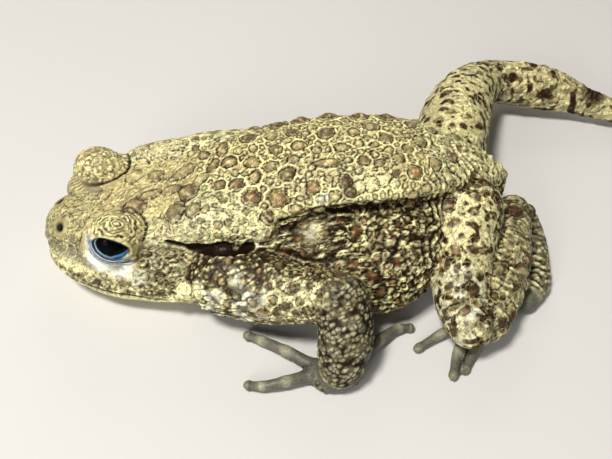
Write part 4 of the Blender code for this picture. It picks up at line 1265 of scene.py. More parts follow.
def place_warts(points, normals, skin):
    """All the warts of the skin, region by region."""
    warts = Warts(points, normals, SEED)
    for place, radius, high, long, turn, dark, red, clear in SWELLINGS:
        i = warts.tree.find(place)[1]
        way = (math.cos(math.radians(turn)), math.sin(math.radians(turn)), 0.0)
        warts.put(i, radius, (high, dark, red, 0.2 + 0.8 * clear, 0.0, clear), long, way)
    rows = [row[0] for row in BODY_SECTIONS]
    for side in SIDES:
        for k in range(RIDGE_WARTS):
            px, py, radius = spline(RIDGE_ROW, k * (len(RIDGE_ROW) - 1) / (RIDGE_WARTS - 1))
            top = spline(BODY_SECTIONS, float(np.interp(px, rows, range(len(rows)))))[3]
            i = warts.tree.find((px, side * py, top - 0.8))[1]
            if warts.free(points[i], radius, 1.1):
                warts.put(i, radius, RIDGE_LOOK, 1.1, (1.0, 0.3 * side, 0.0))
    open_skin = 1.0 - np.maximum(skin["stripe"], 0.8 * skin["groove"])
    for name, count, smallest, largest, apart, stretch, *look in WART_FIELDS:
        warts.scatter(skin[name] * open_skin, count, (smallest, largest), apart, stretch, look)
    return warts.raise_skin()


EyeField = namedtuple("EyeField", "spread outside reach rise forth")


def eye_field(points, side):
    """For points near an eye: how many degrees off its axis and outside the opening's edge they lie, how
    far from the eye's centre, and how high and how far back round it, each from -1 to 1."""
    out, along, up = (np.array(v) for v in eye_axes())
    off = (points - np.array(eye_place(side))) * np.array((1.0, -side, 1.0))
    reach = np.linalg.norm(off, axis=1)
    way = off / reach[:, None]
    spread = np.degrees(np.arccos(np.clip(way @ out, -1.0, 1.0)))
    across, rise = way @ along, way @ up
    length = np.maximum(np.hypot(across, rise), TINY)
    edge = opening_spread(across / length, rise / length)
    return EyeField(spread, spread - edge, reach, rise / length, across / length)


# Folds, lines and openings of the skin. Each function adds to made: its lift in mm, and its masks.


def add_granules(made, points, skin):
    """Pebbles of skin, with painted shade in the gaps between them."""
    warp = np.stack([lumps(points, 1.6, shift) for shift in (51.0, 57.0, 63.0)], axis=1)
    uneven = 0.45 + 0.55 * step(-0.45, 0.15, lumps(points, 2.6, 71.0))
    for name, long, wide, rise, gap in GRANULES:
        slope = np.array(points)
        slope[:, 2] -= PEBBLE_SLOPE * points[:, 0] * (long > wide)
        slope += PEBBLE_WARP * wide * warp
        shape, gaps, shade = pebbles(slope, (long, wide, wide), long, skin[name])
        shape *= 0.6 + 0.4 * shade
        gaps *= uneven
        made["lift"] += rise * shape * skin[name] * (1.0 - skin["stripe"])
        strengthen(made, "crease", gap * gaps * skin[name])
        made["grain"] = np.minimum(made["grain"], 1.0 - gaps * skin[name])
        made["tone"] = np.where(skin[name] > 0.5, shade, made["tone"])


def add_wrinkles(made, points, skin):
    """Thin lines, sunk with painted shade in them or raised and pale, each kind in one broad and one
    finer set.
    """
    for rows, sets, way, mask in (
        (WRINKLES, ((1.0, 3.0), (0.5, 17.0)), -1.0, "crease"),
        (PALE_WRINKLES, ((1.0, 27.0), (0.6, 29.0)), 1.0, "pale_lines"),
    ):
        for name, size, rise, strength in rows:
            for share, shift in sets:
                line = veins(points, [v * share for v in size], shift, skin[name]) * skin[name]
                made["lift"] += way * rise * line
                strengthen(made, mask, strength * line)


def add_long_folds(made, points, skin, height):
    """Folds along the flank, over the rump, and upright ones between the flank and the hips, with
    painted shade in their troughs.
    """
    x, y, z = points.T
    folded = {
        "flank": skin["flank"] * (0.35 + 0.65 * step(20.0, 6.0, x)) * step(0.88, 0.78, height),
        "rump": skin["rump"] * step(-0.4, 0.2, lumps(points, 4.0, 19.0, skin["rump"])),
        "flank_rear": skin["flank_rear"] * step(27.0, 32.0, x) * step(46.0, 38.0, x),
    }
    for name, way, pitch, wander, size, shift, rise, dark_from, strength in LONG_FOLDS:
        across = way[0] * x + way[1] * np.abs(y) + way[2] * z
        fold = np.sin(2 * math.pi * (across / pitch + wander * lumps(points, size, shift, skin[name])))
        made["lift"] += rise * fold * folded[name]
        strengthen(made, "crease", strength * step(*dark_from, -fold) * folded[name])


def joint_bands(parts, name):
    """1 at the joints of these digits, fading away from them."""
    share = parts[name + "_share"]
    return parts[name] * strongest(*(hump(share, joint, JOINT_WIDTH) for joint in DIGIT_JOINTS))


def add_joint_folds(made, points, parts):
    """Wrinkles across the limbs near their joints, with painted shade in their troughs, and the knuckles
    of the digits.
    """
    for name, near, far, pitch, length, rise in JOINT_RINGS:
        share = parts[name + "_share"]
        turns = share * length / pitch + 0.9 * lumps(points, 3.4, 7.0, parts[name])
        rings = np.sin(2 * math.pi * turns)
        where = parts[name] * step(near - 0.12, near + 0.05, share) * step(far + 0.12, far - 0.05, share)
        where *= step(-0.5, 0.3, lumps(points, 5.0, 31.0, parts[name]))
        made["lift"] += rise * rings * where
        strengthen(made, "crease", step(0.2, 1.0, -rings) * where * 0.7)
    for name in ("fingers", "toes"):
        share = parts[name + "_share"]
        slender = parts[name] * step(0.22, 0.35, share)
        knuckles = KNUCKLE_RISE * joint_bands(parts, name) * slender
        made["lift"] += knuckles - TIP_DROP * slender * step(1.0, 0.92, share)


def add_lid_rings(made, points, centre, pad, above):
    """The rings of wrinkles over the left eye, with painted shade in their troughs and painted highlight
    on their crests.
    """
    inner = above * step(1.02, 0.92, pad)
    share = np.clip(1.0 - pad, 0.0, 1.0)
    forth = (points[:, 0] - centre[0] - RING_SHIFT[0] * share) / LID_RADII[0]
    aside = (points[:, 1] - centre[1] - RING_SHIFT[1] * share) / LID_RADII[1]
    wavy = 0.15 * lumps(points, 2.6, 2.0, above) + 0.10 * lumps(points, 1.1, 12.0, above)
    rings = np.sin(2 * math.pi * (np.hypot(forth, aside) + wavy) * LID_RINGS)
    broken = 0.15 + 0.85 * step(-0.30, 0.15, lumps(points, 1.5, 14.0, above))
    made["lift"] += LID_RING_RISE * rings * inner * broken
    strengthen(made, "crease", step(-0.1, 0.8, -rings) * inner * broken * 0.65)
    strengthen(made, "pale_lines", step(0.2, 0.9, rings) * inner * broken * 0.8)


def add_lid_lines(made, points, side):
    """The edge of the lid's pad, the arcs behind the eye, and the lines along the lower lid's rim, with
    painted shade in the pad's edge and the arcs' troughs.
    """
    x, y, z = points.T
    eye = eye_field(points, side)
    centre = eye_place(side, LID_OFFSET)
    pad = np.hypot((x - centre[0]) / LID_RADII[0], (y - centre[1]) / LID_RADII[1])
    above = step(EYE_CENTRE[2] + 0.3, EYE_CENTRE[2] + 1.6, z)
    above = above * step(1.3, 1.15, pad) * step(-0.15, 0.15, eye.rise)
    edge_line = hump(pad, 1.06, 0.06) * above * step(0.0, 6.0, eye.outside)
    made["lift"] -= 0.30 * edge_line
    strengthen(made, "crease", 0.8 * edge_line)
    if side < 0:
        add_lid_rings(made, points, centre, pad, above)
    made["rim_angle"] = np.where(eye.reach < 8.5, eye.outside, made["rim_angle"])
    arcs = np.sin(2 * math.pi * (eye.outside / ARC_PITCH + 0.5 * lumps(points, 2.6, 13.0)))
    rear = step(0.35, 0.75, eye.forth) * step(0.6, 0.2, eye.rise)
    rear = rear * step(5.0, 12.0, eye.outside) * step(8.6, 7.6, eye.reach)
    made["lift"] += 0.12 * arcs * rear
    strengthen(made, "crease", 0.6 * step(0.0, 0.9, -arcs) * rear)
    below = step(0.15, -0.10, eye.rise) * step(7.6, 6.8, eye.reach) * step(1.0, 0.85, eye.forth)
    strengthen(made, "rim", below * step(26.0, 16.0, eye.outside))
    lines = np.sin(2 * math.pi * eye.outside / RIM_LINES)
    made["lift"] -= 0.14 * lines * below * step(-1.0, 3.0, eye.outside)
    # Painted shadow: the inner edges of the lids round the opening are near black, as the gap over the
    # eyeball.
    strengthen(made, "dark", step(-3.0, -7.0, eye.outside) * step(5.9, 5.4, eye.reach))


def add_nostril_and_eardrum(made, points, side):
    x, y, z = points.T
    gap = far_from(points, on_side(NOSTRIL, side), (1.0, 1.2, 1.0))
    made["lift"] -= NOSTRIL_DEPTH * step(NOSTRIL_RADIUS * 1.15, NOSTRIL_RADIUS * 0.2, gap)
    made["lift"] += 0.25 * hump(gap, 1.6, 0.45)
    # Painted shade: the nostril's hole is near black, and the skin round it darker.
    strengthen(made, "dark", step(NOSTRIL_RADIUS * 1.1, NOSTRIL_RADIUS * 0.75, gap))
    strengthen(made, "crease", 0.6 * step(3.0, 1.0, gap))
    gap = np.hypot(x - EARDRUM[0], z - EARDRUM[2]) + 10.0 * (side * y < 8.0)
    made["lift"] += 0.20 * hump(gap, EARDRUM_RADIUS, 0.4) - 0.25 * step(1.9, 1.2, gap)
    strengthen(made, "crease", 0.7 * step(EARDRUM_RADIUS, 1.0, gap))


def add_mouth(made, points, parts):
    """The mouth line, with painted shade in its slit, and the rolled upper lip over it."""
    x, z = points[:, 0], points[:, 2]
    line = MOUTH_Z_FRONT + MOUTH_SLOPE * (x - SNOUT_X) + 0.25 * lumps(points, 6.0, 1.0)
    jaw = (1.0 - parts["limb_any"]) * step(MOUTH_CORNER_X + 0.5, MOUTH_CORNER_X - 1.5, x)
    off = z - line
    made["lift"] += jaw * (LIP_RISE * hump(off, 0.95, 0.7) - MOUTH_DEPTH * hump(off, 0.0, 0.32))
    strengthen(made, "dark", 0.9 * jaw * hump(off, 0.0, 0.30))


def folds(points, skin, parts, height):
    """Everything on the skin but its warts: how far it lifts each point, and masks for its colours,
    among them painted shade in its creases, gaps and openings.
    """
    count = len(points)
    made = {
        "lift": BROAD_RISE * lumps(points, 6.0) * (1.0 - skin["digits"]),
        "crease": np.zeros(count),
        "dark": np.zeros(count),
        "rim": np.zeros(count),
        "rim_angle": np.full(count, 30.0),
        "grain": np.ones(count),
        "tone": np.full(count, 0.5),
        "pale_lines": np.zeros(count),
    }
    add_granules(made, points, skin)
    add_wrinkles(made, points, skin)
    add_long_folds(made, points, skin, height)
    add_joint_folds(made, points, parts)
    made["lift"] -= GROOVE_DEPTH * skin["groove"] + SHADOW_STRIPE_DEPTH * skin["stripe"]
    for side in SIDES:
        add_lid_lines(made, points, side)
        add_nostril_and_eardrum(made, points, side)
    add_mouth(made, points, parts)
    # Near black: painted shadow in the stripe under each gland, and a darkening of the digits.
    strengthen(made, "dark", np.maximum(0.50 * skin["stripe"], 0.32 * skin["digits"]))
    return made


# Colours of the skin


def arm_side(points):
    """How far each point near an upper arm lies to its inner side, as a share of the arm's radius."""
    rows = np.array([(*point, radius) for point, radius in UPPER_ARM])
    x, y = points[:, 0], np.abs(points[:, 1])
    middle, radius = np.interp(x, rows[:, 0], -rows[:, 1]), np.interp(x, rows[:, 0], rows[:, 3])
    return (middle - y) / radius


def colour_fields(points, skin, parts, height, tone):
    """The masks that say which colour the skin has where."""
    x, y, _ = points.T
    bare, flank, lip, gland = (skin[name] for name in ("bare", "flank", "lip", "gland"))
    thighs = np.maximum(skin["thigh_left"], skin["thigh_right"])
    shoulder, arm, digits, thigh = (skin[name] for name in ("shoulder", "arm", "digits", "thigh_left"))
    left, right = skin["shank_left"], skin["shank_right"]
    patch = 0.5 + 0.5 * lumps(points, 8.0, 4.0)
    broad = 0.5 + 0.5 * lumps(points, 17.0, 24.0)
    spots = lumps(points, 3.4, 6.0)
    small = lumps(points, (1.9, 1.9, 2.3), 16.0)
    streaks = lumps(points, (6.0, 2.2, 2.2), 18.0)
    uneven = step(-0.5, 0.0, lumps(points, 4.0, 48.0))
    inward = arm_side(points)
    # Brown: the skin's own bands, blotches and spots, and painted shade in the groove under the back's
    # edge, in the stripe under each gland and along the trunk's lower edge.
    brown = strongest(
        skin["groove"],
        skin["stripe"],
        flank * step(9.0, 0.0, x) * step(0.30, -0.10, streaks) * 0.95,
        flank * step(0.30, 0.70, patch),
        flank * step(0.50, 0.20, tone) * 0.75,
        # Painted shade along the trunk's lower edge, towards the floor.
        skin["flank_rear"] * step(25.0, 30.0, x) * 0.6,
        skin["trunk"] * step(0.26, 0.14, height) * uneven * 0.85,
        shoulder * step(0.05, 0.18, spots) * 0.85,
        shoulder * step(-0.6, -0.2, inward) * 0.9,
        arm * step(-0.35, 0.05, inward) * 0.85,
        arm * step(0.30, 0.50, spots) * 0.7,
        skin["forearm"] * step(0.55, 0.20, tone) * 0.7,
        skin["cheek"] * step(-0.10, 0.30, spots) * 0.65,
        lip * step(-0.15, 0.15, small) * 0.75,
        thighs * np.maximum(step(0.30, 0.40, spots), step(0.23, 0.33, small)),
        np.maximum(left, right) * step(0.26, 0.40, small) * 0.85,
        right * step(0.18, 0.38, spots),
        right * near_to(points, SHANK_BAND, 6.0),
        left * step(0.20, 0.34, spots) * 0.9,
        left * step(56.0, 59.0, x + 0.25 * y) * step(-0.25, 0.15, small) * 0.85,
        left * near_to(points, SHANK_BLOTCH, 4.6),
    )
    brown *= 1.0 - 0.7 * near_to(points, GREY_PLACE, GREY_REACH)
    pale = strongest(
        bare * step(0.22, 0.10, height),
        skin["low"] * 0.6,
        skin["face"] * (0.35 + 0.65 * step(0.35, 0.7, tone)),
        lip * 0.6,
        0.8 * skin["jaw_gland"],
        *(skin[name] * (share + 0.3 * (patch - 0.5)) for name, share in PALE_LIMBS),
        skin["gland_rear"] * (0.6 + 0.4 * patch),
        skin["back"] * step(0.62, 0.85, broad) * 0.6,
        skin["rump"] * (0.75 + 0.25 * patch),
        0.7 * near_to(points, SMOOTH_PLACE, SMOOTH_REACH),
    )
    white = strongest(
        *(
            share * near_to(points, on_side(place, side), reach)
            for place, reach, share in WHITE_PLACES
            for side in SIDES
        ),
        skin["flank_rear"] * step(0.62, 0.45, height) * 0.85,
        shoulder * step(0.0, -0.12, spots) * step(0.4, -0.3, inward) * 0.55,
        0.35 * digits,
        0.12 * gland,
    )
    mottled = 0.4 + 0.6 * step(-0.35, 0.0, lumps(points, 1.4, 49.0))
    white *= np.maximum(mottled, step(-31.0, -36.0, x))
    streaks = lumps(points, (2.4, 2.4, 7.0), 15.0)
    lower = thigh * step(0.45, 0.7, parts["thigh_left_share"]) * step(44.0, 38.0, x)
    white = np.maximum(white, lower * (0.10 + 0.50 * step(0.0, 0.30, streaks)))
    shade = step(0.05, 0.45, lumps(points, 4.6, 26.0)) * bare * step(0.55, 0.7, height)
    brown = strongest(
        brown,
        lower * step(-0.10, -0.30, streaks) * 0.8,
        shade * (0.10 + 0.22 * step(-18.0, -26.0, x)),
    )
    bands = strongest(*(joint_bands(parts, name) for name in ("fingers", "toes")))
    grey = strongest(
        digits * (1.0 - 0.45 * bands),
        0.85 * skin["forearm"],
        0.35 * left,
        0.7 * skin["tarsus"],
        skin["snout"] * (0.20 + 0.45 * step(0.15, 0.55, patch)),
        gland * step(-14.0, -20.0, x) * (0.10 + 0.25 * step(0.3, 0.7, patch)),
        0.6 * near_to(points, SMUDGE, 4.0),
        0.35 * lower,
    )
    top = bare * step(0.5, 0.7, height)
    ochre = top * np.maximum(step(0.45, 0.75, broad), step(-14.0, -22.0, x) * step(0.35, 0.65, patch))
    clear = 1.0 - 0.9 * brown
    found = {"brown": brown, "pale": np.clip(pale, 0.0, 1.0) * clear, "white": white * clear}
    return {**found, "grey": grey * clear, "ochre": ochre * clear}


def skin_fields(points, normals, wart_rise):
    """How far each point of the skin is lifted, the masks that colour it, and where its regions lie."""
    parts = skin_parts(points)
    height, over_edge = body_place(points)
    where = regions(points, parts, height, over_edge)
    found = folds(points, where, parts, height)
    warts = place_warts(points, normals, where)
    colours = colour_fields(points, where, parts, height, found.pop("tone"))
    lift = found.pop("lift") * (1.0 - 0.6 * warts["wart"]) + warts.pop("lift") * wart_rise
    warts["net"] *= strongest(where["back"], where["gland_rear"], 0.6 * where["flank_rear"])
    lift += NET_RISE * warts["net"]
    # The pale lines join the net; on the left lid's rings they are painted highlight on the crests.
    strengthen(warts, "net", found.pop("pale_lines") * (1.0 - warts["wart"]))
    warts["net"] *= 1.0 - np.maximum(where["stripe"], 0.5 * where["groove"])
    strengthen(warts, "wart_dark", where["legs"] * colours["brown"])
    return lift, {**warts, **found, **colours}, where


def raised(points, normals, lift):
    """The points moved out by their lift, but still round the eyes' openings, off the eyeballs and not
    under the floor."""
    for side in SIDES:
        eye = eye_field(points, side)
        lift = lift * (1.0 - step(4.0, -2.0, eye.outside) * step(7.2, 6.2, eye.reach))
    points = points + normals * lift[:, None]
    for side in SIDES:
        eye = eye_field(points, side)
        short = np.maximum(EYE_RADIUS + 0.5 * LID_THICKNESS - eye.reach, 0.0)
        short = np.where(eye.outside > 4.0, short, 0.0)
        short *= step(2.0, 1.0, short)
        points += (points - np.array(eye_place(side))) / eye.reach[:, None] * short[:, None]
    points[:, 2] = np.maximum(points[:, 2], 0.0)
    return points


def relief_masks(mesh, masks, where):
    """Adds the masks of the raised skin: painted shade in its hollows and painted highlight on its
    crests.
    """
    points = points_of(mesh)
    fine, broad = relief(mesh)
    bright, sunk = np.full(len(points), 0.55), np.full(len(points), 0.55)
    for name, crests, hollows in RUGGED:
        bright += (crests - bright) * where[name]
        sunk += (hollows - sunk) * where[name]
    hollow_shade = np.minimum(sunk * (0.75 * step(0.0, -0.06, fine) + 0.7 * step(-0.02, -0.26, broad)), 1.0)
    calm = 1.0 - np.maximum(0.9 * where["stripe"], 0.4 * where["groove"])
    peak_highlight = bright * calm * (0.65 * step(0.0, 0.08, fine) + 0.45 * step(0.0, 0.30, broad))
    wart, dark = masks["wart"], masks["wart_dark"]
    peak_highlight *= 1.0 - wart * (0.35 + 0.6 * np.maximum(masks["wart_red"], dark))
    peak_highlight *= 1.0 - 0.85 * where["legs"] * np.maximum(masks["brown"], wart * dark)
    clean = 1.0 - 0.8 * masks["white"] * step(-32.0, -36.0, points[:, 0])
    clean *= 1.0 - 0.6 * near_to(points, GREY_PLACE, GREY_REACH)
    masks["crease"] *= clean
    masks["hollow_shade"] = hollow_shade * clean
    masks["peak_highlight"] = np.minimum(peak_highlight, 1.0)


# Nodes of the materials


def group_of(name, inputs, outputs):
    """A new shader node group with these sockets, each a name, a kind and, for an input, a default."""
    group = bpy.data.node_groups.new(name, "ShaderNodeTree")
    for label, kind, value in inputs:
        socket = group.interface.new_socket(label, in_out="INPUT", socket_type=kind)
        socket.default_value = value
    for label, kind in outputs:
        group.interface.new_socket(label, in_out="OUTPUT", socket_type=kind)
    return group, group.nodes.new("NodeGroupInput"), group.nodes.new("NodeGroupOutput")


def node(tree, kind, inputs=(), **settings):
    """A node with these settings, whose numbered or named inputs take a value or a link."""
    made = tree.nodes.new(kind)
    for key, value in settings.items():
        setattr(made, key, value)
    for key, value in dict(inputs).items():
        if isinstance(value, bpy.types.NodeSocket):
            tree.links.new(value, made.inputs[key])
        else:
            made.inputs[key].default_value = value
    return made


def blend(tree, share, first, second, mode="MIX"):
    """A colour between two, by a share."""
    settings = {"data_type": "RGBA", "blend_type": mode, "clamp_factor": True}
    return node(tree, "ShaderNodeMix", {0: share, 6: first, 7: second}, **settings).outputs[2]


def maths(tree, operation, first, second=0.0):
    return node(tree, "ShaderNodeMath", {0: first, 1: second}, operation=operation).outputs[0]


def times(tree, first, second):
    return maths(tree, "MULTIPLY", first, second)


def field(tree, name, strength=1.0):
    """One of the mesh's own masks, or a share of it."""
    made = node(tree, "ShaderNodeAttribute", attribute_type="GEOMETRY", attribute_name=name)
    return made.outputs["Fac"] if strength == 1.0 else times(tree, made.outputs["Fac"], strength)


def colour(rgb):
    return (*rgb, 1.0)


def layered(tree, base, *layers):
    """A colour with others over it, each where its mask is, as strongly as it says."""
    for name, strength, rgb in layers:
        base = blend(tree, field(tree, name, strength), base, colour(rgb))
    return base


def new_material(name):
    """A new material, with its nodes and its shader."""
    made = bpy.data.materials.new(name)
    made.use_nodes = True
    return made, made.node_tree, made.node_tree.nodes["Principled BSDF"]


def speckle_group():
    """Fine uneven tone, as in living skin: a factor near 1, and a height for a bump."""
    group, come, go = group_of(
        "skin_speckle",
        (("Lump Size", "NodeSocketFloat", 1.0), ("Strength", "NodeSocketFloat", 0.3)),
        (("Tone", "NodeSocketFloat"), ("Height", "NodeSocketFloat")),
    )
    place = node(group, "ShaderNodeTexCoord").outputs["Object"]
    scale = maths(group, "DIVIDE", 1000.0, come.outputs["Lump Size"])
    soft = {"Vector": place, "Scale": scale, "Detail": 4.0, "Roughness": 0.6}
    broad = node(group, "ShaderNodeTexNoise", soft).outputs["Fac"]
    sharp = {"Vector": place, "Scale": times(group, scale, 3.1)}
    grit = node(group, "ShaderNodeTexVoronoi", sharp).outputs["Distance"]
    mixed = maths(group, "ADD", times(group, broad, 1.6), times(group, grit, 0.5))
    centred = maths(group, "SUBTRACT", mixed, 1.0)
    tone = maths(group, "ADD", 1.0, times(group, centred, come.outputs["Strength"]))
    group.links.new(tone, go.inputs["Tone"])
    group.links.new(mixed, go.inputs["Height"])
    return group


def wart_colour(tree, look):
    """Light or dark warts with a lighter middle and darker edge, partly their own tone and partly
    painted highlight and shade on each dome, some of them rusty, greyer where the skin is grey.
    """
    dark, cap = field(tree, "wart_dark"), field(tree, "cap")
    edge = blend(tree, dark, colour(look.wart_edge_colour), colour(look.wart_dark_colour))
    middle = blend(tree, dark, colour(look.wart_colour), colour(look.wart_edge_colour))
    lit = times(tree, cap, maths(tree, "SUBTRACT", 1.1, times(tree, dark, 0.95)))
    top = blend(tree, lit, edge, middle)
    crown = maths(tree, "ADD", 0.25, times(tree, cap, 0.65))
    top = blend(tree, times(tree, field(tree, "wart_red"), crown), top, colour(look.rust_colour))
    return layered(tree, top, ("grey", 0.6, look.grey_colour))


def skin_material(look):
    """The skin: tan back with pale lines between its warts, brown flanks, pale belly and thighs, with
    painted highlight on its crests and painted shade in its creases, hollows and grooves.
    """
    made, tree, shader = new_material("toad_skin")
    speckle = speckle_group()
    small = node(tree, "ShaderNodeGroup", {"Lump Size": 0.7, "Strength": 0.5}, node_tree=speckle)
    large = node(tree, "ShaderNodeGroup", {"Lump Size": 3.4, "Strength": 0.6}, node_tree=speckle)
    ground = layered(
        tree,
        colour(look.back_colour),
        ("ochre", 1.0, look.ochre_colour),
        ("pale", 1.0, look.pale_colour),
        ("white", 1.0, look.white_colour),
        ("grey", 1.0, look.grey_colour),
        ("brown", 1.0, look.brown_colour),
    )
    skin = blend(tree, field(tree, "wart"), ground, wart_colour(tree, look))
    # The crest layer is painted highlight; the net's pale lines are partly painted highlight on the left
    # lid's rings.
    skin = layered(
        tree,
        skin,
        ("net", 0.85, look.line_colour),
        ("peak_highlight", 0.8, look.crest_highlight_colour),
        ("rim", 1.0, look.rim_colour),
    )
    wave = maths(tree, "SINE", field(tree, "rim_angle", 2 * math.pi / RIM_LINES))
    line = node(tree, "ShaderNodeMapRange", {"Value": wave, "From Min": -0.8, "From Max": 0.0})
    line = times(tree, line.outputs[0], field(tree, "rim"))
    skin = blend(tree, line, skin, colour(look.rim_dark_colour))
    # Painted shade, near black, in the creases, the hollows and the moats round the warts; the rings are
    # partly the warts' own dark outlines too.
    sunk = (("ring", 0.9), ("crease", 0.97), ("hollow_shade", 0.97))
    skin = layered(tree, skin, *((name, strength, look.shade_and_outline_colour) for name, strength in sunk))
    for speckled in (small, large):
        skin = blend(tree, 1.0, skin, speckled.outputs["Tone"], "MULTIPLY")
    # Near black as painted shade in the nostrils, the mouth's slit, the gaps round the eyeballs and the
    # stripes under the glands, and laid faintly over the digits.
    skin = layered(tree, skin, ("dark", 1.0, HOLE_COLOUR))
    tree.links.new(skin, shader.inputs["Base Color"])
    wet = times(tree, small.outputs["Height"], 0.25)
    tree.links.new(maths(tree, "ADD", wet, look.roughness - 0.2), shader.inputs["Roughness"])
    height = maths(tree, "ADD", small.outputs["Height"], field(tree, "grain", 0.5))
    bump = node(tree, "ShaderNodeBump", {"Height": height, "Strength": 0.45, "Distance": 0.00012})
    tree.links.new(bump.outputs["Normal"], shader.inputs["Normal"])
    # What is sunk or dark shines less.
    dull = times(tree, field(tree, "wart_dark"), field(tree, "wart", 0.6))
    for other in (line, *(field(tree, name) for name in ("crease", "hollow_shade", "brown"))):
        dull = maths(tree, "MAXIMUM", dull, other)
    shine = maths(tree, "SUBTRACT", 1.05, maths(tree, "MINIMUM", dull, 1.0))
    tree.links.new(times(tree, shine, 0.35), shader.inputs["Specular IOR Level"])
    shader.inputs["Coat Weight"].default_value = look.coat
    shader.inputs["Coat Roughness"].default_value = 0.3
    return made


def iris_material(look):
    """The eyeball: a wide black pupil, and a thin copper ring flecked with black, with a painted
    reflection along its lower edge and a painted glint under the upper lid.
    """
    made, tree, shader = new_material("toad_iris")
    place = node(tree, "ShaderNodeTexCoord").outputs["Object"]
    fine = {"Vector": place, "Scale": 2600.0, "Detail": 4.0}
    flecks = node(tree, "ShaderNodeTexNoise", fine).outputs["Fac"]
    fleck = node(tree, "ShaderNodeMapRange", {"Value": flecks, "From Min": 0.45, "From Max": 0.6})
    ring = blend(tree, fleck.outputs[0], colour(look.iris_colour), colour(look.fleck_colour))
    # The edge and corner colours are painted reflections on the wet eye.
    found = layered(
        tree,
        ring,
        ("pupil", 1.0, PUPIL_COLOUR),
        ("edge_reflection", 1.0, look.edge_reflection_colour),
        ("corner", 1.0, look.corner_reflection_colour),
    )
    tree.links.new(found, shader.inputs["Base Color"])
    tree.links.new(maths(tree, "ADD", 0.4, times(tree, flecks, 0.2)), shader.inputs["Roughness"])
    shader.inputs["Specular IOR Level"].default_value = 0.0
    return made


def cornea_material():
    """The wet clear front of the eye."""
    made, _, shader = new_material("toad_cornea")
    shader.inputs["Base Color"].default_value = (1.0, 1.0, 1.0, 1.0)
    shader.inputs["Roughness"].default_value = 0.03
    shader.inputs["Transmission Weight"].default_value = 1.0
    shader.inputs["IOR"].default_value = 1.16
    return made


def floor_material(look):
    """The plain floor, a little uneven in tone."""
    made, tree, shader = new_material("pale_floor")
    place = node(tree, "ShaderNodeTexCoord").outputs["Object"]
    cloud = node(tree, "ShaderNodeTexNoise", {"Vector": place, "Scale": 9.0, "Detail": 3.0})
    first, second = colour(look.floor_colour), colour([c * 0.94 for c in look.floor_colour])
    tree.links.new(blend(tree, cloud.outputs["Fac"], first, second), shader.inputs["Base Color"])
    shader.inputs["Roughness"].default_value = 0.85
    return made


# Pieces


def to_row():
    """What moves a point of the toad's plan, in mm, to the frame of the solids, in mm."""
    low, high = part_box("eye_left")
    return (low + high) / 2 / MM - Vector(EYE_CENTRE)


def settle(obj, name, nodes, material):
    """Moves a finished piece from the toad's plan to its place, and lets it stand for its nodes."""
    obj.data.transform(Matrix.Scale(MM, 4) @ Matrix.Translation(to_row()))
    obj.name = name
    obj.data.materials.clear()
    obj.data.materials.append(material)
    obj.data.shade_smooth()
    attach(obj, "root")
    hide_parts(*nodes)


def fused_flesh(size):
    """Trunk, head, limbs, lids, cheeks, glands and webs, fused into one skin."""
    pieces = [make_body()]
    for name, lines in all_limbs().items():
        sides = 16 if name in ("fingers", "toes") else 28
        pieces += [tube(name, rows, sides=sides) for rows in lines]
    for side in SIDES:
        x, y, z = on_side(NOSTRIL, side)
        pieces += [
            ellipsoid("palm", hand_place(PALM_CENTRE, side), PALM_RADII),
            ellipsoid("cheek", eye_place(side, CHEEK_OFFSET), CHEEK_RADII),
            ellipsoid("lid", eye_place(side, LID_OFFSET), LID_RADII),
            ellipsoid("rim", (x + 0.6, y * 0.9, z - 0.9), (NOSTRIL_RIM,) * 3),
        ]
    pieces += [ellipsoid("jaw_gland", place, radii) for place, radii in JAW_GLANDS]
    for tarsus, toes in ((LEFT_TARSUS, LEFT_TOES), (RIGHT_TARSUS, RIGHT_TOES)):
        base = tarsus[-1][0]
        tips = [toe_point(base, toe, WEB_SHARE) for toe in toes]
        pieces.append(web("web", Vector(base[:2]), tips))
    return remesh(join("skin", pieces), size)


def soften_joints(skin, rounds):
    """Evens the skin where flesh runs smoothly from one part into the next."""
    points = points_of(skin.data)
    spots = (step(reach, reach * 0.55, far_from(points, place)) for place, reach in SOFT_SPOTS)
    soft = strongest(*spots)
    soft = np.maximum(soft * (1.0 - 0.85 * skin_parts(points)["digits"]), 0.06)
    set_points(skin.data, evened(skin.data, points, soft * 0.9, rounds))


def open_eyes(skin):
    """Builds a thin lid over each eye, room for the eyeball beneath, and the opening."""
    ways = [opening_way(2 * math.pi * k / OPENING_POINTS, OPENING_INSET) for k in range(OPENING_POINTS)]
    for side in SIDES:
        centre = eye_place(side)
        socket = ellipsoid("socket", centre, (EYE_RADIUS + LID_THICKNESS,) * 3, 64, 40)
        boolean(skin, socket, "UNION")
        ball = ellipsoid("ball", centre, (EYE_RADIUS + BALL_ROOM,) * 3, 64, 40)
        boolean(skin, ball, "DIFFERENCE")
        reaches = [share * OPENING_REACH for share in (0.3, 0.5, 0.75, 1.0)]
        window = loft("window", [[eye_place(side, way * reach) for way in ways] for reach in reaches])
        boolean(skin, window, "DIFFERENCE")


def lid_edges():
    """The rounded edges of the lids, as tubes along the upper and the lower half of each opening."""
    edges = []
    for side in SIDES:
        for first, (thick, reach) in ((0.0, UPPER_EDGE), (180.0, LOWER_EDGE)):
            ways = [opening_way(math.radians(first + 15.0 * k)) for k in range(13)]
            rows = [(eye_place(side, way * (EYE_RADIUS + reach)), thick) for way in ways]
            edges.append(tube("lid_edge", rows, sides=16, per_span=2))
    return edges


def tint(name, description, *rgb):
    """A colour that a user may change."""
    return FloatVectorProperty(name=name, description=description, subtype="COLOR", default=rgb)


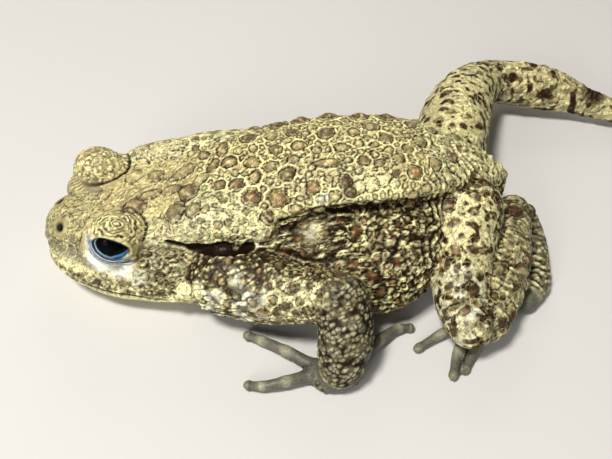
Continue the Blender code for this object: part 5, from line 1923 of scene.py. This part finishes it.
class TOAD_PG_skin(bpy.types.PropertyGroup):
    """Sizes and colours of the skin."""

    coarse: FloatProperty(
        name="First mesh", description="Size of the squares in which the flesh is fused", default=0.5
    )
    fine: FloatProperty(
        name="Skin mesh", description="Size of the finished skin's squares", default=0.25
    )
    rounds: IntProperty(name="Softening", description="How often joints are smoothed", default=26)
    wart_rise: FloatProperty(
        name="Wart height", description="Height of warts against their usual one", default=1.0
    )
    back_colour: tint("Back", "Ground colour of the back and head", 0.49, 0.42, 0.19)
    ochre_colour: tint("Ochre", "Browner patches of the back and head", 0.33, 0.265, 0.125)
    line_colour: tint("Lines", "Pale lines between the warts of the back", 0.84, 0.79, 0.36)
    # A wart's lighter middle and darker edge are partly its own tone and partly painted highlight and
    # shade on its dome.
    wart_colour: tint("Warts", "Middle of a light wart", 0.43, 0.30, 0.095)
    wart_edge_colour: tint(
        "Wart edges", "Edge of a light wart, middle of a dark one", 0.145, 0.088, 0.028
    )
    wart_dark_colour: tint("Dark warts", "Edge of a dark wart", 0.028, 0.012, 0.006)
    rust_colour: tint("Rust", "Reddish warts of the flank", 0.22, 0.062, 0.018)
    # Brown is also painted shade in the groove under the back's edge, the stripe under each gland and
    # along the trunk's lower edge.
    brown_colour: tint("Brown", "Flank, bands and blotches", 0.028, 0.012, 0.005)
    pale_colour: tint("Pale", "Belly, lips and thighs", 0.76, 0.72, 0.39)
    white_colour: tint("White", "Whitest places of the cheeks and legs", 0.90, 0.96, 0.87)
    grey_colour: tint("Grey", "Hands, feet and snout", 0.105, 0.108, 0.080)
    # Painted highlight on the crests of the raised skin, and painted shade in its creases, its hollows
    # and the moats round warts, whose dark rings are partly the warts' own outlines.
    crest_highlight_colour: tint("Crests", "Worn tops of folds and warts", 0.92, 0.88, 0.48)
    shade_and_outline_colour: tint("Creases", "Folds and rings round warts", 0.010, 0.005, 0.002)
    rim_colour: tint("Lid rim", "Thin lines along the rim of the lower lid", 0.52, 0.60, 0.66)
    rim_dark_colour: tint("Rim grooves", "Between the lines of the lower lid's rim", 0.075, 0.080, 0.100)
    roughness: FloatProperty(
        name="Roughness", description="Roughness of the skin", default=0.5, subtype="FACTOR"
    )
    coat: FloatProperty(
        name="Damp", description="Thin wet layer on the skin", default=0.10, subtype="FACTOR"
    )


class TOAD_PG_eyes(bpy.types.PropertyGroup):
    """Sizes and colours of the eyes."""

    pupil_wide: FloatProperty(
        name="Pupil width", description="Half width of the pupil in degrees", default=54.0
    )
    pupil_tall: FloatProperty(
        name="Pupil height", description="Half height of the pupil in degrees", default=35.0
    )
    bulge: FloatProperty(
        name="Cornea", description="How far the clear front stands out, in mm", default=0.22
    )
    iris_colour: tint("Iris", "Copper of the iris", 0.30, 0.17, 0.05)
    # Painted reflections on the wet eye: a pale blue band along its lower edge and a bluer one in its
    # rear corner.
    edge_reflection_colour: tint("Veil", "Thin skin along the eye's lower edge", 0.34, 0.56, 0.70)
    corner_reflection_colour: tint("Corner", "Blue skin in the eye's rear corner", 0.06, 0.40, 0.90)
    fleck_colour: tint("Flecks", "Dark flecks in the iris", 0.02, 0.014, 0.008)


class TOAD_PG_stage(bpy.types.PropertyGroup):
    """Camera, lights and floor."""

    azimuth: FloatProperty(
        name="Azimuth", description="Camera's place round the toad in degrees", default=-13.0
    )
    elevation: FloatProperty(name="Elevation", description="Camera's height in degrees", default=50.0)
    roll: FloatProperty(name="Roll", description="Camera's turn about its view in degrees", default=4.5)
    lens: FloatProperty(name="Lens", description="Focal length in mm", default=45.0)
    distance: FloatProperty(
        name="Distance", description="From the camera to its target", default=0.18625, unit="LENGTH"
    )
    target: FloatVectorProperty(
        name="Target", description="In the toad's plan, in mm", default=(6.06, -6.55, 12.0)
    )
    floor_colour: tint("Floor", "Colour of the floor", 0.56, 0.555, 0.545)


class TOAD_OT_skin(bpy.types.Operator):
    """Build the toad's skin as one piece, with its warts, folds and colour masks"""

    bl_idname = "toad.skin"
    bl_label = "Build skin"

    def execute(self, context):
        look = context.scene.toad_skin
        skin = fused_flesh(look.coarse)
        soften_joints(skin, look.rounds)
        open_eyes(skin)
        skin = remesh(join("skin", [skin, *lid_edges()]), look.fine)
        set_points(skin.data, evened(skin.data, points_of(skin.data), 0.5, 3))
        points, normals = points_of(skin.data), points_of(skin.data, "normal")
        lift, masks, where = skin_fields(points, normals, look.wart_rise)
        set_points(skin.data, raised(points, normals, lift))
        relief_masks(skin.data, masks, where)
        paint(skin.data, masks)
        flesh = [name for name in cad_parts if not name.startswith("eye")]
        settle(skin, "skin", flesh, skin_material(look))
        return {"FINISHED"}


class TOAD_OT_eyes(bpy.types.Operator):
    """Build both eyes: a ball with pupil and iris, and a clear cornea over it"""

    bl_idname = "toad.eyes"
    bl_label = "Build eyes"

    def execute(self, context):
        look = context.scene.toad_eyes
        iris, clear = iris_material(look), cornea_material()
        for side, node_name in zip(SIDES, ("eye_left", "eye_right")):
            ball = ellipsoid("ball", eye_place(side), (EYE_RADIUS - look.bulge,) * 3, 96, 64)
            eye = eye_field(points_of(ball.data), side)
            pupil_edge = 1.0 / np.hypot(eye.forth / look.pupil_wide, eye.rise / look.pupil_tall)
            # Painted reflection: a pale blue band along the eye's lower edge, wider and bluer in its
            # rear corner; and a painted glint, a thin pale line under the upper lid.
            low = step(0.30, -0.05, eye.rise)
            rear = step(0.35, 0.90, eye.forth) * step(0.25, -0.15, eye.rise)
            width = EDGE_REFLECTION_WIDTH + EDGE_REFLECTION_WIDER * rear
            upper_glint = 0.3 * step(0.4, 0.7, eye.rise) * hump(eye.outside, -8.0, 0.8)
            edge_reflection = np.maximum(low * step(-width - 1.5, -width, eye.outside), upper_glint)
            masks = {
                "pupil": step(2.0, -2.0, eye.spread - pupil_edge),
                "edge_reflection": edge_reflection,
                "corner": edge_reflection * step(0.15, 0.55, rear),
            }
            paint(ball.data, masks)
            settle(ball, node_name + "_ball", [node_name], iris)
            cornea = ellipsoid("cornea", eye_place(side), (EYE_RADIUS,) * 3, 96, 64)
            settle(cornea, node_name + "_cornea", [node_name], clear)
        return {"FINISHED"}


class TOAD_OT_stage(bpy.types.Operator):
    """Set up the floor, the lights and the camera at the photograph's angle"""

    bl_idname = "toad.stage"
    bl_label = "Build stage"

    def execute(self, context):
        look = context.scene.toad_stage
        bm = bmesh.new()
        bmesh.ops.create_grid(bm, x_segments=8, y_segments=8, size=FLOOR_SIZE)
        floor = add_object("floor", bm, closed=False)
        floor.data.materials.append(floor_material(look))

        world = bpy.data.worlds.new("soft_light")
        world.use_nodes = True
        background = world.node_tree.nodes["Background"]
        background.inputs["Color"].default_value = colour(SKY_COLOUR)
        background.inputs["Strength"].default_value = SKY_STRENGTH
        context.scene.world = world
        for name, place, size, power, tint in LIGHTS:
            light = bpy.data.lights.new(name, "AREA")
            light.size = size
            light.energy = power
            light.color = tint
            lamp = linked(name, light)
            lamp.location = place
            lamp.rotation_euler = (-Vector(place)).to_track_quat("-Z", "Y").to_euler()

        context.scene.view_settings.view_transform = "Standard"
        a, e, roll = (math.radians(v) for v in (look.azimuth, look.elevation, look.roll))
        back = Vector((math.sin(a) * math.cos(e), -math.cos(a) * math.cos(e), math.sin(e)))
        level = Vector((math.cos(a), math.sin(a), 0.0))
        upright = back.cross(level)
        right = level * math.cos(roll) + upright * math.sin(roll)
        up = upright * math.cos(roll) - level * math.sin(roll)
        eye = (Vector(look.target) + to_row()) * MM + back * look.distance
        camera = linked("camera", bpy.data.cameras.new("camera"))
        camera.data.lens = look.lens
        camera.data.sensor_width = 36.0
        camera.data.clip_start = 0.01
        camera.data.clip_end = 20.0
        camera.matrix_world = Matrix.Translation(eye) @ Matrix((right, up, back)).transposed().to_4x4()
        context.scene.camera = camera
        return {"FINISHED"}


class TOAD_PT_panel(bpy.types.Panel):
    """Lists what builds the toad, with its sizes and colours."""

    bl_idname = "TOAD_PT_panel"
    bl_label = "Toad"
    bl_space_type = "VIEW_3D"
    bl_region_type = "UI"
    bl_category = "Toad"

    def draw(self, context):
        for operator, settings in (
            ("toad.skin", context.scene.toad_skin),
            ("toad.eyes", context.scene.toad_eyes),
            ("toad.stage", context.scene.toad_stage),
        ):
            column = self.layout.column(align=True)
            column.operator(operator)
            for name in settings.bl_rna.properties.keys():
                if name not in ("rna_type", "name"):
                    column.prop(settings, name)


CLASSES = (
    TOAD_PG_skin,
    TOAD_PG_eyes,
    TOAD_PG_stage,
    TOAD_OT_skin,
    TOAD_OT_eyes,
    TOAD_OT_stage,
    TOAD_PT_panel,
)


def register():
    for cls in CLASSES:
        bpy.utils.register_class(cls)
    bpy.types.Scene.toad_skin = PointerProperty(type=TOAD_PG_skin)
    bpy.types.Scene.toad_eyes = PointerProperty(type=TOAD_PG_eyes)
    bpy.types.Scene.toad_stage = PointerProperty(type=TOAD_PG_stage)


def unregister():
    for name in ("toad_skin", "toad_eyes", "toad_stage"):
        delattr(bpy.types.Scene, name)
    for cls in reversed(CLASSES):
        bpy.utils.unregister_class(cls)


def main():
    register()
    bpy.ops.toad.skin()
    bpy.ops.toad.eyes()
    bpy.ops.toad.stage()


if __name__ == "__main__":
    main()
